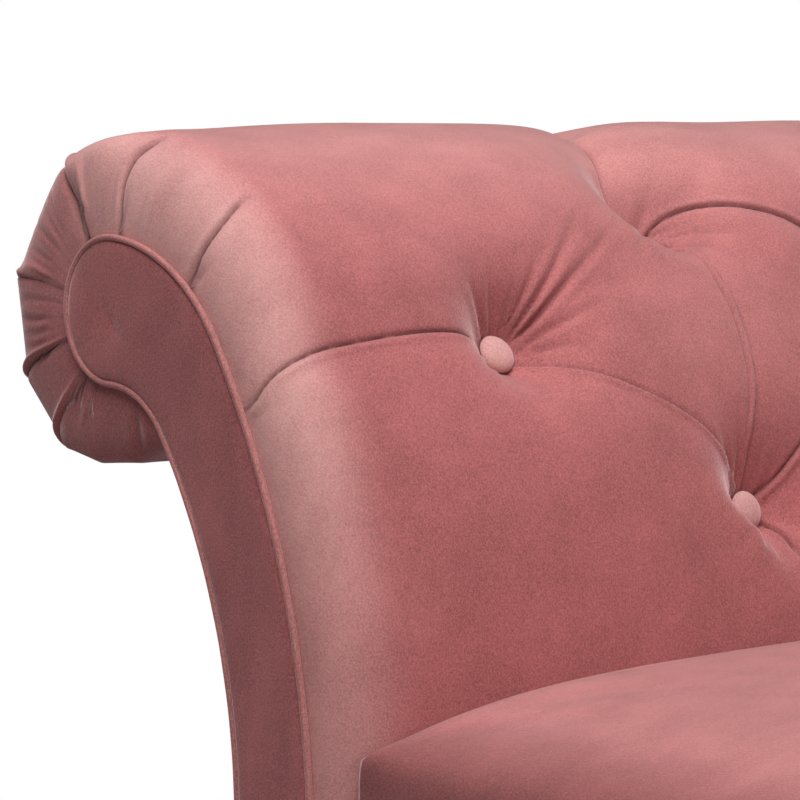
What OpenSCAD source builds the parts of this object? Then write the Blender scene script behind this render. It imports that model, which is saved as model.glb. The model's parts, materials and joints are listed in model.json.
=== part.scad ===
// Fainting couch: one raised, rolled and button-tufted head end, a crowned
// tight seat and an open foot end, upholstered in dusty rose velvet.
// Millimetres. X runs along the couch with the head at -X, the front is at -Y
// and the floor is at Z = 0, under the middle of the couch.

/* [Overall] */
// Length from the outside of the roll to the foot end
couch_l = 1700; // [1500:10:2000]
// Depth over the two scroll facings
couch_d = 820; // [700:10:920]

/* [Head scroll] */
// Height of the scroll's centre above the floor
scroll_z = 722; // [690:1:800]
// Radius of the scroll where the facing ends
scroll_r = 48; // [42:1:56]
// Radius of the shoulder between the scroll and the sweep
shoulder_r = 141; // [125:1:160]
// Radius of the long sweep that the back leans on
sweep_r = 572; // [520:1:620]
// Radius of the hollow under the scroll
curl_r = 71; // [62:1:80]
// Radius of the outside of the neck
nape_r = 423; // [400:1:440]
// Angle at which the scroll passes into the shoulder, in degrees
crest_angle = 87; // [80:1:95]
// Angle at which the shoulder passes into the sweep, in degrees
shoulder_angle = 33.5; // [31:0.5:36]
// Angle at which the hollow passes into the neck, in degrees
curl_angle = 35.5; // [34:0.5:38]

/* [Head padding] */
// Filling outside the scroll, measured level
roll_pad_t = 68; // [56:1:80]
// How much the roll's filling rides up over the scroll
roll_lift = 8; // [4:1:12]
// Filling over the sweep at the seat
seat_pad_t = 40; // [32:1:48]
// How far the filling takes to round over at each facing
pad_edge_d = 46; // [36:1:56]
// Height of the cover where it leaves the welt
pad_edge_t = 9; // [8.8:0.1:12]
// Thickness of the firm base foam
base_foam_t = 12; // [8:1:16]

/* [Tufting] */
// Radius of a covered button
button_r = 14; // [11:0.5:17]
// Height of a covered button's dome
button_h = 8; // [6:0.5:10]
// Distance of the side buttons from the middle
button_y = 189; // [160:1:210]
// Angle of the side buttons on the sweep, in degrees
side_button_angle = 30.5; // [28:0.5:33]
// Angle of the upper middle button on the shoulder, in degrees
upper_button_angle = 54; // [48:1:60]
// Angle of the lower middle button on the sweep, in degrees
lower_button_angle = 17.5; // [15:0.5:20]
// Radius of the dimple that a button pulls
dimple_r = 52; // [40:1:64]
// Half width of a pleat's valley
pleat_w = 20; // [14:1:28]
// Radius of the button twine
twine_r = 1.2; // [0.8:0.1:1.6]

/* [Facings] */
// Thickness of a facing's backing board
facing_board_t = 4; // [3:0.5:6]
// Thickness of the cloth and wadding in front of that board
facing_pad_t = 7; // [5:0.5:9]
// Thickness of the cloth wrapped round the board's edge
facing_wrap_t = 1.8; // [1.2:0.1:2.4]
// Radius of the welt cord round a facing
welt_r = 4; // [3:0.1:4.5]

/* [Seat] */
// Height of the seat's edge above the floor
seat_edge_z = 450; // [420:1:480]
// Rise of the crown above the edge
seat_crown = 40; // [28:1:55]
// Distance of the seat's front behind the facing
seat_setback = 12; // [8:1:18]
// Thickness of the padded seat cover
seat_cover_t = 14; // [10:1:18]
// Rounding of the seat's long edges
seat_round_r = 32; // [24:1:40]
// Plan radius of the corners at the foot end
seat_corner_r = 55; // [42:1:75]
// Swelling of the seat's walls between the edge and the hem
seat_swell = 4; // [2:0.5:7]
// Thickness of the felt over the webbing
felt_t = 3; // [2:0.5:5]
// Width of a webbing strap
strap_w = 60; // [45:1:75]
// Thickness of a webbing strap
strap_t = 1.5; // [1:0.1:2]
// Straps from front to back
cross_straps = 9; // [7:1:11]
// Straps along the couch
long_straps = 4; // [3:1:5]

/* [Frame] */
// Height of the legs, glides included
leg_h = 130; // [100:1:160]
// Height of the seat rails
rail_h = 170; // [140:1:190]
// Thickness of the seat rails
rail_t = 25; // [20:1:30]
// Height of the beam under the head
base_rail_h = 70; // [55:1:85]
// Thickness of the scroll-shaped boards
scroll_board_t = 15; // [12:1:16]
// Thickness of the ribs inside the head
rib_t = 15; // [12:1:18]
// Distance of the ribs from the middle
rib_y = 95; // [80:1:110]
// Thickness of the bent tufting board
tuft_board_t = 6; // [4:0.5:8]
// Thickness of the outside backing board
backer_t = 3; // [2:0.5:4]
// Thickness of the outside cover
outside_cover_t = 2.7; // [2:0.1:3.5]
// Width of the slats that join the ribs
slat_w = 40; // [30:1:46]
// Thickness of those slats
slat_t = 18; // [14:1:20]
// Height of the cross braces
brace_h = 60; // [45:1:75]
// Side of a corner block
block_w = 95; // [80:1:115]
// Height of a corner block
block_h = 60; // [50:1:75]
// Thickness of the dust cover
dust_t = 1; // [0.8:0.1:1.5]

/* [Legs and hardware] */
// Radius of a leg's top
leg_top_r = 29; // [24:1:32]
// Radius of a leg's foot
leg_foot_r = 16; // [13:0.5:20]
// Height of the collar at a leg's top
leg_collar_h = 14; // [10:1:20]
// Radius of the bead under the collar
leg_bead_r = 7; // [5:0.5:9]
// Height of a glide below its leg
glide_h = 4; // [3:0.5:6]
// Radius of a glide
glide_r = 13; // [10:0.5:15]
// Radius of the leg and frame bolts
bolt_r = 4; // [3:0.5:5]
// Length of a leg bolt inside the leg
bolt_leg_l = 32; // [25:1:40]
// Length of a leg bolt inside the frame
bolt_frame_l = 28; // [22:1:34]
// Wall of a threaded insert
insert_wall = 2; // [1.5:0.1:2.5]
// Length of a threaded insert
insert_l = 18; // [14:1:22]

/* [Hidden] */
// Gap between soft solids and what they lie on
soft_gap = 0.3;
// Clearance round a bolt, a pin or a length of twine
hole_gap = 0.1;
// Overrun of a cut past the face it opens
cut = 1;
// Steps along each stretch of the scroll's outline
lower_n = 3;
low_n = 4;
mid_n = 3;
high_n = 3;
crest_n = 4;
scroll_n = 13;
curl_n = 5;

// Directions and arcs in the XZ plane
function dir(a) = [cos(a), sin(a)];
function arc(c, r, a0, a1, n) = [for (i = [0:n]) c + r * dir(a0 + (a1 - a0) * i / n)];
function arc_at(c, r, angles) = [for (a = angles) c + r * dir(a)];
function steps(a, b, n) = [for (i = [0:n]) a + (b - a) * i / n];
function tail(v) = [for (i = [1:1:len(v) - 1]) v[i]];
function reverse(v) = [for (i = [len(v) - 1:-1:0]) v[i]];

// Angles along the sweep and the shoulder, with the buttons' own among them
sweep_as = concat(steps(0, lower_button_angle, low_n),
    tail(steps(lower_button_angle, side_button_angle, mid_n)), [shoulder_angle]);
shoulder_as = concat(steps(shoulder_angle, upper_button_angle, high_n),
    tail(steps(upper_button_angle, crest_angle, crest_n)));
sweep_n = len(sweep_as) - 1;
shoulder_n = len(shoulder_as) - 1;
nape_n = sweep_n + shoulder_n - curl_n;

// Centres of the outline's arcs, each tangent to the next
roll_r = scroll_r + roll_pad_t;
scroll_c = [roll_r - couch_l / 2, scroll_z];
roll_c = scroll_c + [0, roll_lift];
shoulder_c = scroll_c + (scroll_r - shoulder_r) * dir(crest_angle);
sweep_c = shoulder_c + (shoulder_r - sweep_r) * dir(shoulder_angle);
curl_c = scroll_c - [0, scroll_r + curl_r];
nape_c = curl_c + (curl_r - nape_r) * dir(curl_angle);
face_x = sweep_c[0] + sweep_r;
nape_x = nape_c[0] + nape_r;

// Levels
rail_z = leg_h;
deck_z = rail_z + rail_h;
felt_z = deck_z + 2 * strap_t;
foam_z = felt_z + felt_t;
pad_z = felt_z + soft_gap;

// Depths, measured from the middle to the front or back
half_d = couch_d / 2;
facing_t = facing_board_t + facing_pad_t;
board_y = half_d - facing_t;
rail_y = board_y - scroll_board_t;
rail_in_y = rail_y - rail_t;
seat_y = half_d - seat_setback;
pad_y = half_d - 2 * welt_r - soft_gap;

// Ends of the seat
seat_x0 = face_x + seat_pad_t + soft_gap;
seat_x1 = couch_l / 2;
foot_x = seat_x1 - seat_cover_t;
foot_in_x = foot_x - rail_t;

// The outline's seat side and outside, grown by g and ended at height z
function face_side(g, z) = concat(
    [[face_x + g, z]],
    arc_at(sweep_c, sweep_r + g, sweep_as),
    tail(arc_at(shoulder_c, shoulder_r + g, shoulder_as)),
    tail(arc(scroll_c, scroll_r + g, crest_angle, 270, scroll_n)));
function nape_side(g, z) = concat(
    arc(curl_c, curl_r - g, 90, curl_angle, curl_n),
    tail(arc(nape_c, nape_r - g, curl_angle, 0, nape_n)),
    [[nape_x - g, z]]);
function outline(g, z) = concat(face_side(g, z), tail(nape_side(g, z)));

// A prism with an XZ section between two depths
module across(points, y0, y1) {
    translate([0, y1, 0]) rotate([90, 0, 0]) linear_extrude(y1 - y0) polygon(points);
}
module bar(x0, x1, y0, y1, z0, z1) {
    translate([x0, y0, z0]) cube([x1 - x0, y1 - y0, z1 - z0]);
}
// A piece and its mirror image at the rear
module both_sides() {
    children();
    mirror([0, 1, 0]) children();
}

// Colours
velvet = [0.70, 0.43, 0.44];
velvet_dark = [0.55, 0.32, 0.33];
button_pink = [0.82, 0.66, 0.64];
pine = [0.80, 0.66, 0.46];
ply = [0.74, 0.60, 0.42];
foam = [0.93, 0.88, 0.72];
felt = [0.62, 0.62, 0.60];
webbing = [0.25, 0.24, 0.23];
steel = [0.70, 0.71, 0.73];
walnut = [0.24, 0.14, 0.09];
nylon = [0.12, 0.12, 0.12];

// Head frame: two outer scroll boards, two ribs, slats and the bent board
inset_in = base_foam_t + tuft_board_t;
inset_out = outside_cover_t + backer_t + soft_gap;
function board_outline(z) = concat(face_side(-inset_in, z), nape_side(-inset_out, z));

// The neck's clear width between its two skins
neck_x0 = nape_x + inset_out;
neck_x1 = face_x - inset_in;

// Frame bolts through the scroll boards and the long rails
frame_bolt_x = (neck_x0 + neck_x1) / 2;
bolt_zs = [for (k = [1, 3]) rail_z + rail_h * k / 4];
bolt_head_r = bolt_r * 1.75;
bolt_head_h = bolt_r * 1.25;
washer_t = bolt_r * 0.4;
nut_h = bolt_r * 1.6;

module frame_bolt_holes(r) {
    for (z = bolt_zs) translate([frame_bolt_x, 0, z])
        rotate([90, 0, 0]) cylinder(h = half_d, r = r, $fn = 32);
}
module scroll_board() {
    difference() {
        across(board_outline(rail_z), -board_y, -rail_y);
        frame_bolt_holes(bolt_r + hole_gap);
        for (z = bolt_zs) translate([frame_bolt_x, -board_y + bolt_head_h + soft_gap, z])
            rotate([90, 0, 0]) cylinder(h = half_d, r = bolt_head_r + hole_gap, $fn = 32);
    }
}
module head_front_board() {
    color(ply) scroll_board();
}
module head_rear_board() {
    color(ply) mirror([0, 1, 0]) scroll_board();
}

// Slats let into the ribs: at the crest, at the neck and under the seat's edge
neck_slat_share = 0.38;
deck_slat_share = 0.84;
neck_slat_t = (neck_x1 - neck_x0) * neck_slat_share;
deck_slat_x = neck_x1 - (neck_x1 - neck_x0) * deck_slat_share;
crest_slat = scroll_c + [0, scroll_r - inset_in - slat_t];
neck_slat = [neck_x0 + backer_t, deck_z + slat_w];
module slat_bars(g) {
    translate([crest_slat[0] - slat_w / 4 - g, -rail_y, crest_slat[1] - slat_w / 2 - g])
        cube([slat_w / 2 + 2 * g, 2 * rail_y, slat_t + 2 * g]);
    translate([neck_slat[0] - g, -rail_y, neck_slat[1] - g])
        cube([neck_slat_t + 2 * g, 2 * rail_y, slat_w + 2 * g]);
}
module head_slats() {
    color(pine) slat_bars(0);
}
module rib() {
    difference() {
        across(board_outline(rail_z + base_rail_h), rib_y, rib_y + rib_t);
        slat_bars(hole_gap);
        bar(deck_slat_x - hole_gap, face_x, 0, half_d, deck_z - slat_t - hole_gap, pad_z);
    }
}
module head_front_rib() {
    color(ply) mirror([0, 1, 0]) rib();
}
module head_rear_rib() {
    color(ply) rib();
}

// Button places: [angle, depth, arc centre, arc radius]
buttons = [
    [side_button_angle, -button_y, sweep_c, sweep_r],
    [side_button_angle, button_y, sweep_c, sweep_r],
    [upper_button_angle, 0, shoulder_c, shoulder_r],
    [lower_button_angle, 0, sweep_c, sweep_r]];
module at_button(b, h) {
    p = b[2] + (b[3] + h) * dir(b[0]);
    translate([p[0], b[1], p[1]]) rotate([0, 90 - b[0], 0]) children();
}
module tufting_board() {
    color(ply) difference() {
        across(concat(face_side(-base_foam_t, pad_z), reverse(face_side(-inset_in, pad_z))),
            -board_y, board_y);
        for (b = buttons) at_button(b, -inset_in - cut)
            cylinder(h = inset_in + 2 * cut, r = twine_r + hole_gap, $fn = 24);
    }
}
module outside_backer() {
    outer = nape_side(-inset_out, rail_z);
    color(ply) across(concat(outer, reverse(nape_side(backer_t - inset_out, rail_z))), -board_y, board_y);
}

// The seat's plan, grown inwards by g, from the head at the front round the foot
straight_n = 5;
corner_n = 6;
foot_n = 6;
function seat_side(g, y) = [for (i = [0:straight_n])
    let (x = i == 0 ? seat_x0 : seat_x1 - seat_y
        + (seat_y - seat_corner_r) * (i - 1) / (straight_n - 1)) [x, y]];
function seat_half_plan(g) = concat(
    seat_side(g, -seat_y + g),
    tail(arc([seat_x1 - seat_corner_r, -seat_y + seat_corner_r], seat_corner_r - g, -90, 0, corner_n)),
    [for (i = [1:foot_n - 1]) [seat_x1 - g, (-seat_y + seat_corner_r) * (1 - i / foot_n)]]);
function flip_y(v) = [for (p = v) [p[0], -p[1]]];
function seat_plan(g) = concat(seat_half_plan(g), [[seat_x1 - g, 0]], reverse(flip_y(seat_half_plan(g))));

// A slab with the frame's plan, from a given end at the head to the rounded foot
module seat_slab(g, x0, z0, z1) {
    plan = [for (p = seat_plan(seat_cover_t + g)) [p[0] == seat_x0 ? x0 : p[0], p[1]]];
    translate([0, 0, z0]) linear_extrude(z1 - z0) polygon(plan);
}

// Seat frame, trimmed to the rounded corners at the foot
module long_rail() {
    difference() {
        intersection() {
            bar(neck_x0, foot_x, -rail_y, -rail_in_y, rail_z, deck_z);
            seat_slab(0, neck_x0 - cut, rail_z - cut, deck_z + cut);
        }
        frame_bolt_holes(bolt_r + hole_gap);
    }
}
module seat_front_rail() {
    color(pine) long_rail();
}
module seat_rear_rail() {
    color(pine) mirror([0, 1, 0]) long_rail();
}
module seat_foot_rail() {
    color(pine) intersection() {
        bar(foot_in_x, foot_x, -rail_in_y, rail_in_y, rail_z, deck_z);
        seat_slab(0, neck_x0 - cut, rail_z - cut, deck_z + cut);
    }
}

// Leg places, under the beam at the head and under the blocks at the foot
leg_in = block_w * 0.3;
leg_y = rail_in_y - leg_in;
head_leg_x = (neck_x0 + neck_x1) / 2;
foot_leg_x = foot_in_x - leg_in;
leg_xs = [head_leg_x, foot_leg_x];
insert_r = bolt_r + hole_gap + insert_wall;
module insert_holes() {
    for (x = leg_xs, s = [-1, 1]) translate([x, s * leg_y, rail_z - cut])
        cylinder(h = bolt_frame_l + 2 * cut, r = insert_r + hole_gap, $fn = 32);
}
module head_base_rail() {
    color(pine) difference() {
        bar(neck_x0, neck_x1, -rail_in_y, rail_in_y, rail_z, rail_z + base_rail_h);
        insert_holes();
        // Pockets for the nuts of the lower frame bolts
        both_sides() translate([frame_bolt_x, -rail_in_y + nut_h + washer_t + cut, bolt_zs[0]])
            rotate([90, 0, 0]) cylinder(h = half_d, r = bolt_head_r + 2 * washer_t, $fn = 32);
    }
}
module deck_slat() {
    color(pine) bar(deck_slat_x, neck_x1, -rail_in_y, rail_in_y, deck_z - slat_t, deck_z);
}
brace_xs = [for (k = [1, 2]) face_x + (foot_in_x - face_x) * k / 3];
module cross_braces() {
    color(pine) for (x = brace_xs)
        bar(x - rail_t / 2, x + rail_t / 2, -rail_in_y, rail_in_y, rail_z, rail_z + brace_h);
}
module corner_blocks() {
    color(pine) difference() {
        both_sides() translate([0, 0, rail_z]) linear_extrude(block_h)
            polygon([[foot_in_x, -rail_in_y], [foot_in_x, block_w - rail_in_y],
                [foot_in_x - rail_t, block_w - rail_in_y], [foot_in_x - block_w, rail_t - rail_in_y],
                [foot_in_x - block_w, -rail_in_y]]);
        insert_holes();
    }
}
module frame_bolts() {
    color(steel) both_sides() for (z = bolt_zs) translate([frame_bolt_x, 0, z]) {
        translate([0, -board_y + bolt_head_h, 0]) rotate([90, 0, 0])
            cylinder(h = bolt_head_h, r = bolt_head_r, $fn = 32);
        translate([0, -rail_in_y + washer_t + nut_h, 0]) rotate([90, 0, 0])
            cylinder(h = scroll_board_t + rail_t + washer_t + nut_h - bolt_head_h, r = bolt_r, $fn = 32);
    }
}
module frame_nuts() {
    color(steel) both_sides() for (z = bolt_zs) translate([frame_bolt_x, -rail_in_y, z]) rotate([-90, 0, 0])
        difference() {
            union() {
                cylinder(h = washer_t, r = bolt_head_r + washer_t, $fn = 32);
                translate([0, 0, washer_t]) cylinder(h = nut_h, r = bolt_head_r, $fn = 6);
            }
            translate([0, 0, -cut]) cylinder(h = nut_h + 3 * cut, r = bolt_r + hole_gap, $fn = 32);
        }
}

// Webbing, felt and foam under the seat
strap_end_y = rail_y - rail_t / 4;
strap_x0 = seat_x0 + strap_w;
strap_x1 = foot_x - strap_w;
module cross_webbing() {
    color(webbing) for (i = [0:cross_straps - 1])
        let (x = strap_x0 + (strap_x1 - strap_x0) * i / (cross_straps - 1))
        bar(x - strap_w / 2, x + strap_w / 2, -strap_end_y, strap_end_y, deck_z, deck_z + strap_t);
}
module long_webbing() {
    color(webbing) for (i = [0:long_straps - 1])
        let (y = rail_in_y * ((2 * i + 1) / long_straps - 1))
        bar((deck_slat_x + neck_x1) / 2, foot_x - rail_t / 4, y - strap_w / 2, y + strap_w / 2,
            deck_z + strap_t, felt_z);
}
module deck_felt() {
    color(felt) seat_slab(rail_t / 4, seat_x0, felt_z, foam_z);
}

// Where each point of the plan moves to as the crown closes over the middle
function seat_ridge(p) = [min(p[0], seat_x1 - seat_y), 0];

// Rings of the seat: swelling walls, a rounded edge, then the crown
round_n = 3;
crown_shares = [0.06, 0.14, 0.25, 0.4, 0.6, 0.85];
wall_shares = [0.35, 0.7];
crown_power = 3.4;
function crown_z(t) = seat_edge_z + seat_crown * (1 - pow(1 - t, crown_power));
function ring_at(g, inset, z) = [for (p = seat_plan(g + inset)) [p[0], p[1], z]];
function crown_ring(g, t) = [for (p = seat_plan(seat_round_r))
    let (q = p + (seat_ridge(p) - p) * t) [q[0], q[1], crown_z(t) - g]];
function seat_rings(g, z0, swell) = concat(
    [ring_at(g, swell, z0)],
    [for (s = wall_shares) ring_at(g, swell * (1 - sin(90 * s)),
        z0 + (seat_edge_z - seat_round_r - z0) * s)],
    [for (i = [0:round_n]) let (a = 90 * i / round_n)
        ring_at(0, g + (seat_round_r - g) * (1 - cos(a)),
            seat_edge_z - seat_round_r + (seat_round_r - g) * sin(a))],
    [for (t = crown_shares) crown_ring(g, t)]);

// Faces of a stack of open rings whose two ends lie in one upright plane
function flat(v) = [for (r = v, p = r) p];
function strip(i, n, turned) = [for (j = [0:n - 2])
    let (a = i * n + j, b = a + 1, c = a + n, d = c + 1)
    each turned ? [[a, b, c], [b, d, c]] : [[a, c, b], [b, c, d]]];
// A flat ring's own face: strips from front to rear, then a fan to the straight foot
function ring_face(at, n, up) = let (k = straight_n + corner_n - 1, e = at + n - 1) concat(
    [for (i = [0:k - 1]) let (a = at + i, b = a + 1, c = e - i, d = c - 1)
        each up ? [[a, c, b], [b, c, d]] : [[a, b, c], [b, d, c]]],
    [for (i = [k + 1:n - 2 - k]) up ? [at + k, at + i + 1, at + i] : [at + k, at + i, at + i + 1]]);
module seat_solid(rings) {
    n = len(rings[0]);
    m = len(rings);
    polyhedron(flat(rings), concat(
        [for (i = [0:m - 2]) each strip(i, n, false)],
        ring_face(0, n, false),
        ring_face((m - 1) * n, n, true),
        [for (i = [0:m - 2]) let (a = i * n, b = a + n, c = a + n - 1, d = c + n)
            each [[a, c, b], [c, d, b]]]));
}
module seat_shell(outer, inner) {
    n = len(outer[0]);
    m = len(outer);
    k = len(inner);
    polyhedron(concat(flat(outer), flat(inner)), concat(
        [for (i = [0:m - 2]) each strip(i, n, false)],
        [for (i = [0:k - 2]) each [for (f = strip(i, n, true)) f + [m * n, m * n, m * n]]],
        ring_face((m - 1) * n, n, true),
        ring_face((m + k - 1) * n, n, false),
        [for (j = [0:n - 2]) each [[j, j + 1, m * n + j], [j + 1, m * n + j + 1, m * n + j]]],
        [for (i = [0:m - 2]) let (a = i * n, b = a + n, c = a + m * n, d = b + m * n)
            each [[a, c, b], [b, c, d]]],
        [for (i = [0:m - 2]) let (a = i * n + n - 1, b = a + n, c = a + m * n, d = b + m * n)
            each [[a, b, c], [b, d, c]]],
        [let (a = (m - 1) * n, b = a + n - 1, c = a + m * n, d = b + m * n)
            each [[a, c, b], [b, c, d]]]));
}
module seat_foam() {
    color(foam) seat_solid(seat_rings(seat_cover_t + soft_gap, foam_z + soft_gap, 0));
}
module seat_cover() {
    color(velvet) seat_shell(seat_rings(0, rail_z, seat_swell),
        seat_rings(seat_cover_t - soft_gap, rail_z, 0));
}

// Firm foam bent over the tufting board
module head_foam() {
    color(foam) difference() {
        across(concat(face_side(0, pad_z), reverse(face_side(-base_foam_t, pad_z))), -board_y, board_y);
        for (b = buttons) at_button(b, -inset_in - cut)
            cylinder(h = inset_in + 2 * cut, r = twine_r + hole_gap, $fn = 24);
    }
}

// Rows of the buttoned cover: [foot of the filling, how far it swells out]
tuck_n = 3;
crest_pad_t = roll_pad_t + roll_lift * sin(crest_angle);
function pad_t(a) = a > crest_angle ? roll_pad_t + roll_lift * sin(a)
    : seat_pad_t + (crest_pad_t - seat_pad_t) * max(a, 0) / crest_angle;
function pad_arc(c, r, angles) = [for (a = angles)
    [c + (r + soft_gap) * dir(a), (pad_t(a) - soft_gap) * dir(a)]];
// The roll's underside ends where its circle meets the outside of the neck
roll_to_nape = nape_c - roll_c;
nape_far = norm(roll_to_nape);
nape_out_r = nape_r - soft_gap;
tuck_turn = acos((roll_r * roll_r + nape_far * nape_far - nape_out_r * nape_out_r)
    / (2 * roll_r * nape_far));
tuck_angle = 90 + tuck_turn + atan2(roll_to_nape[1], roll_to_nape[0]);
pad_rows = concat(
    [for (i = [0:lower_n - 1]) [[face_x + soft_gap, pad_z
        + (sweep_c[1] - pad_z) * i / lower_n], [seat_pad_t - soft_gap, 0]]],
    pad_arc(sweep_c, sweep_r, sweep_as),
    tail(pad_arc(shoulder_c, shoulder_r, shoulder_as)),
    tail(pad_arc(scroll_c, scroll_r, steps(crest_angle, 270, scroll_n))),
    [for (i = [1:tuck_n]) let (b = curl_c + (curl_r - soft_gap) * dir(90 + (curl_angle - 90) * i / tuck_n),
        o = roll_c + roll_r * dir(270 + tuck_angle * i / tuck_n)) [b, o - b]]);

// Columns across the depth, closer together where the cover rounds over
edge_shares = [0, 0.06, 0.22, 0.52];
side_n = 5;
inner_n = 5;
flat_y = pad_y - pad_edge_d;
half_ys = concat(
    [for (s = edge_shares) pad_y - pad_edge_d * s],
    steps(flat_y, button_y, side_n),
    tail(steps(button_y, 0, inner_n)));
pad_ys = concat([for (y = half_ys) -y], tail(reverse(half_ys)));

// Dimples at the buttons and pleats from button to button and to the edges
function surface_at(a, y, c, r) = let (p = c + (r + pad_t(a)) * dir(a)) [p[0], y, p[1]];
spots = [for (b = buttons) surface_at(b[0], b[1], b[2], b[3])];
front_pleat_angle = 22.5;
crest_pleat_angle = 100;
crest_pleat_y = button_y * 0.35;
pleats = [
    [spots[0], spots[3]], [spots[1], spots[3]], [spots[0], spots[2]], [spots[1], spots[2]],
    [spots[0], surface_at(front_pleat_angle, -pad_y, sweep_c, sweep_r)],
    [spots[1], surface_at(front_pleat_angle, pad_y, sweep_c, sweep_r)],
    [spots[2], surface_at(crest_pleat_angle, -crest_pleat_y, scroll_c, scroll_r)]];
dimple_share = 0.74;
pleat_share = 0.16;
function to_line(p, l) = let (v = l[1] - l[0],
    t = min(max((p - l[0]) * v / (v * v), 0), 1)) norm(p - l[0] - v * t);
function near(d, w) = exp(-pow(d / w, 2));
function round_over(y) = let (s = min((pad_y - abs(y)) / pad_edge_d, 1)) sqrt(1 - pow(1 - s, 2));
function swell(row, y) = let (
    p = [row[0][0] + row[1][0], y, row[0][1] + row[1][1]],
    dimple = max([for (s = spots) near(max(norm(p - s) - button_r, 0), dimple_r)]),
    pleat = max([for (l = pleats) near(to_line(p, l), pleat_w)]),
    least = pad_edge_t / norm(row[1]))
    min(least, 1) + (1 - min(least, 1)) * round_over(y)
        * (1 - dimple_share * dimple) * (1 - pleat_share * pleat);
function pad_point(row, y) = let (p = row[0] + row[1] * swell(row, y)) [p[0], y, p[1]];
module buttoned_pad() {
    m = len(pad_rows);
    k = len(pad_ys);
    feet = m * k;
    points = concat(
        [for (row = pad_rows, y = pad_ys) pad_point(row, y)],
        [for (row = pad_rows, y = [-pad_y, pad_y]) [row[0][0], y, row[0][1]]]);
    polyhedron(points, concat(
        [for (i = [0:m - 2], j = [0:k - 2])
            let (a = i * k + j, b = a + 1, c = a + k, d = c + 1) each [[a, c, b], [b, c, d]]],
        [for (i = [0:m - 2]) let (a = feet + 2 * i) each [[a, a + 1, a + 2], [a + 1, a + 3, a + 2]]],
        [for (i = [0:m - 2]) let (a = i * k, f = feet + 2 * i) each [[a, f, a + k], [f, f + 2, a + k]]],
        [for (i = [0:m - 2]) let (a = i * k + k - 1, f = feet + 2 * i + 1)
            each [[a, a + k, f], [f, a + k, f + 2]]],
        [concat([for (j = [0:k - 1]) j], [feet + 1, feet])],
        [concat([for (j = [k - 1:-1:0]) (m - 1) * k + j], [feet + 2 * m - 2, feet + 2 * m - 1])]));
}
// The cover's tail beside the long rail, down to the hem
module cover_tail() {
    translate([0, 0, rail_z]) linear_extrude(pad_z - rail_z) polygon(concat(
        [[face_x + soft_gap, -rail_y - soft_gap], [face_x + soft_gap, -pad_y]],
        [for (a = [0:15:75]) [face_x + pad_edge_t + (seat_pad_t - pad_edge_t) * sin(a),
            -rail_y - soft_gap - (pad_y - rail_y - soft_gap) * cos(a)]],
        [[face_x + seat_pad_t, -rail_y - soft_gap]]));
}
module head_cover() {
    color(velvet) {
        buttoned_pad();
        both_sides() cover_tail();
    }
}

// Buttons in their dimples, with twine to the toggles behind the board
button_share = 1 - dimple_share;
function seat_of(b) = let (t = pad_t(b[0])) pad_edge_t + (t - pad_edge_t) * button_share * (1 - pleat_share);
button_rim_h = button_h * 0.38;
module button() {
    sag = button_h - button_rim_h;
    ball_r = (button_r * button_r + sag * sag) / (2 * sag);
    span = asin(button_r / ball_r);
    rotate_extrude($fn = 48) polygon(concat(
        [[0, 0], [button_r / 4, 0], [button_r, button_rim_h]],
        [for (i = [1:6]) let (a = span * (1 - i / 6)) [ball_r * sin(a), button_h - ball_r * (1 - cos(a))]]));
}
module tufting_buttons() {
    color(button_pink) for (b = buttons) at_button(b, seat_of(b) + soft_gap + button_rim_h * 0.6) button();
}
toggle_t = 3 * twine_r;
toggle_r = 8 * twine_r;
// Room for the board's curve over a flat toggle
function toggle_gap(b) = soft_gap + toggle_r * toggle_r / (b[3] - inset_in);
module button_twine() {
    color(felt) for (b = buttons) at_button(b, -inset_in - toggle_t - toggle_gap(b))
        cylinder(h = inset_in + toggle_t + toggle_gap(b), r = twine_r, $fn = 16);
}
module twine_toggles() {
    color(nylon) for (b = buttons) at_button(b, -inset_in - toggle_t - toggle_gap(b)) difference() {
        cylinder(h = toggle_t, r = toggle_r, $fn = 32);
        translate([0, 0, -cut]) cylinder(h = toggle_t + 2 * cut, r = twine_r + hole_gap, $fn = 16);
    }
}

// Facings: a board, and a padded cloth cover wrapped over its edge
module facing_board() {
    across(outline(-facing_wrap_t - soft_gap, rail_z + facing_wrap_t + soft_gap), -board_y - facing_board_t,
        -board_y);
}
module front_facing_board() {
    color(ply) facing_board();
}
module rear_facing_board() {
    color(ply) mirror([0, 1, 0]) facing_board();
}
// Rings of the cover: its soft front edge, its side, then the pocket for the board
facing_round_r = facing_pad_t * 0.6;
function facing_ring(g, lift, y) = [for (p = outline(g, rail_z + lift)) [p[0], y, p[1]]];
facing_rings = concat(
    [for (a = [0:30:90]) let (e = facing_round_r * (1 - sin(a)))
        facing_ring(-e, e, -half_d + facing_round_r * (1 - cos(a)))],
    [facing_ring(0, 0, -board_y),
    facing_ring(-facing_wrap_t, facing_wrap_t, -board_y),
    facing_ring(-facing_wrap_t, facing_wrap_t, -board_y - facing_board_t - soft_gap)]);
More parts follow.
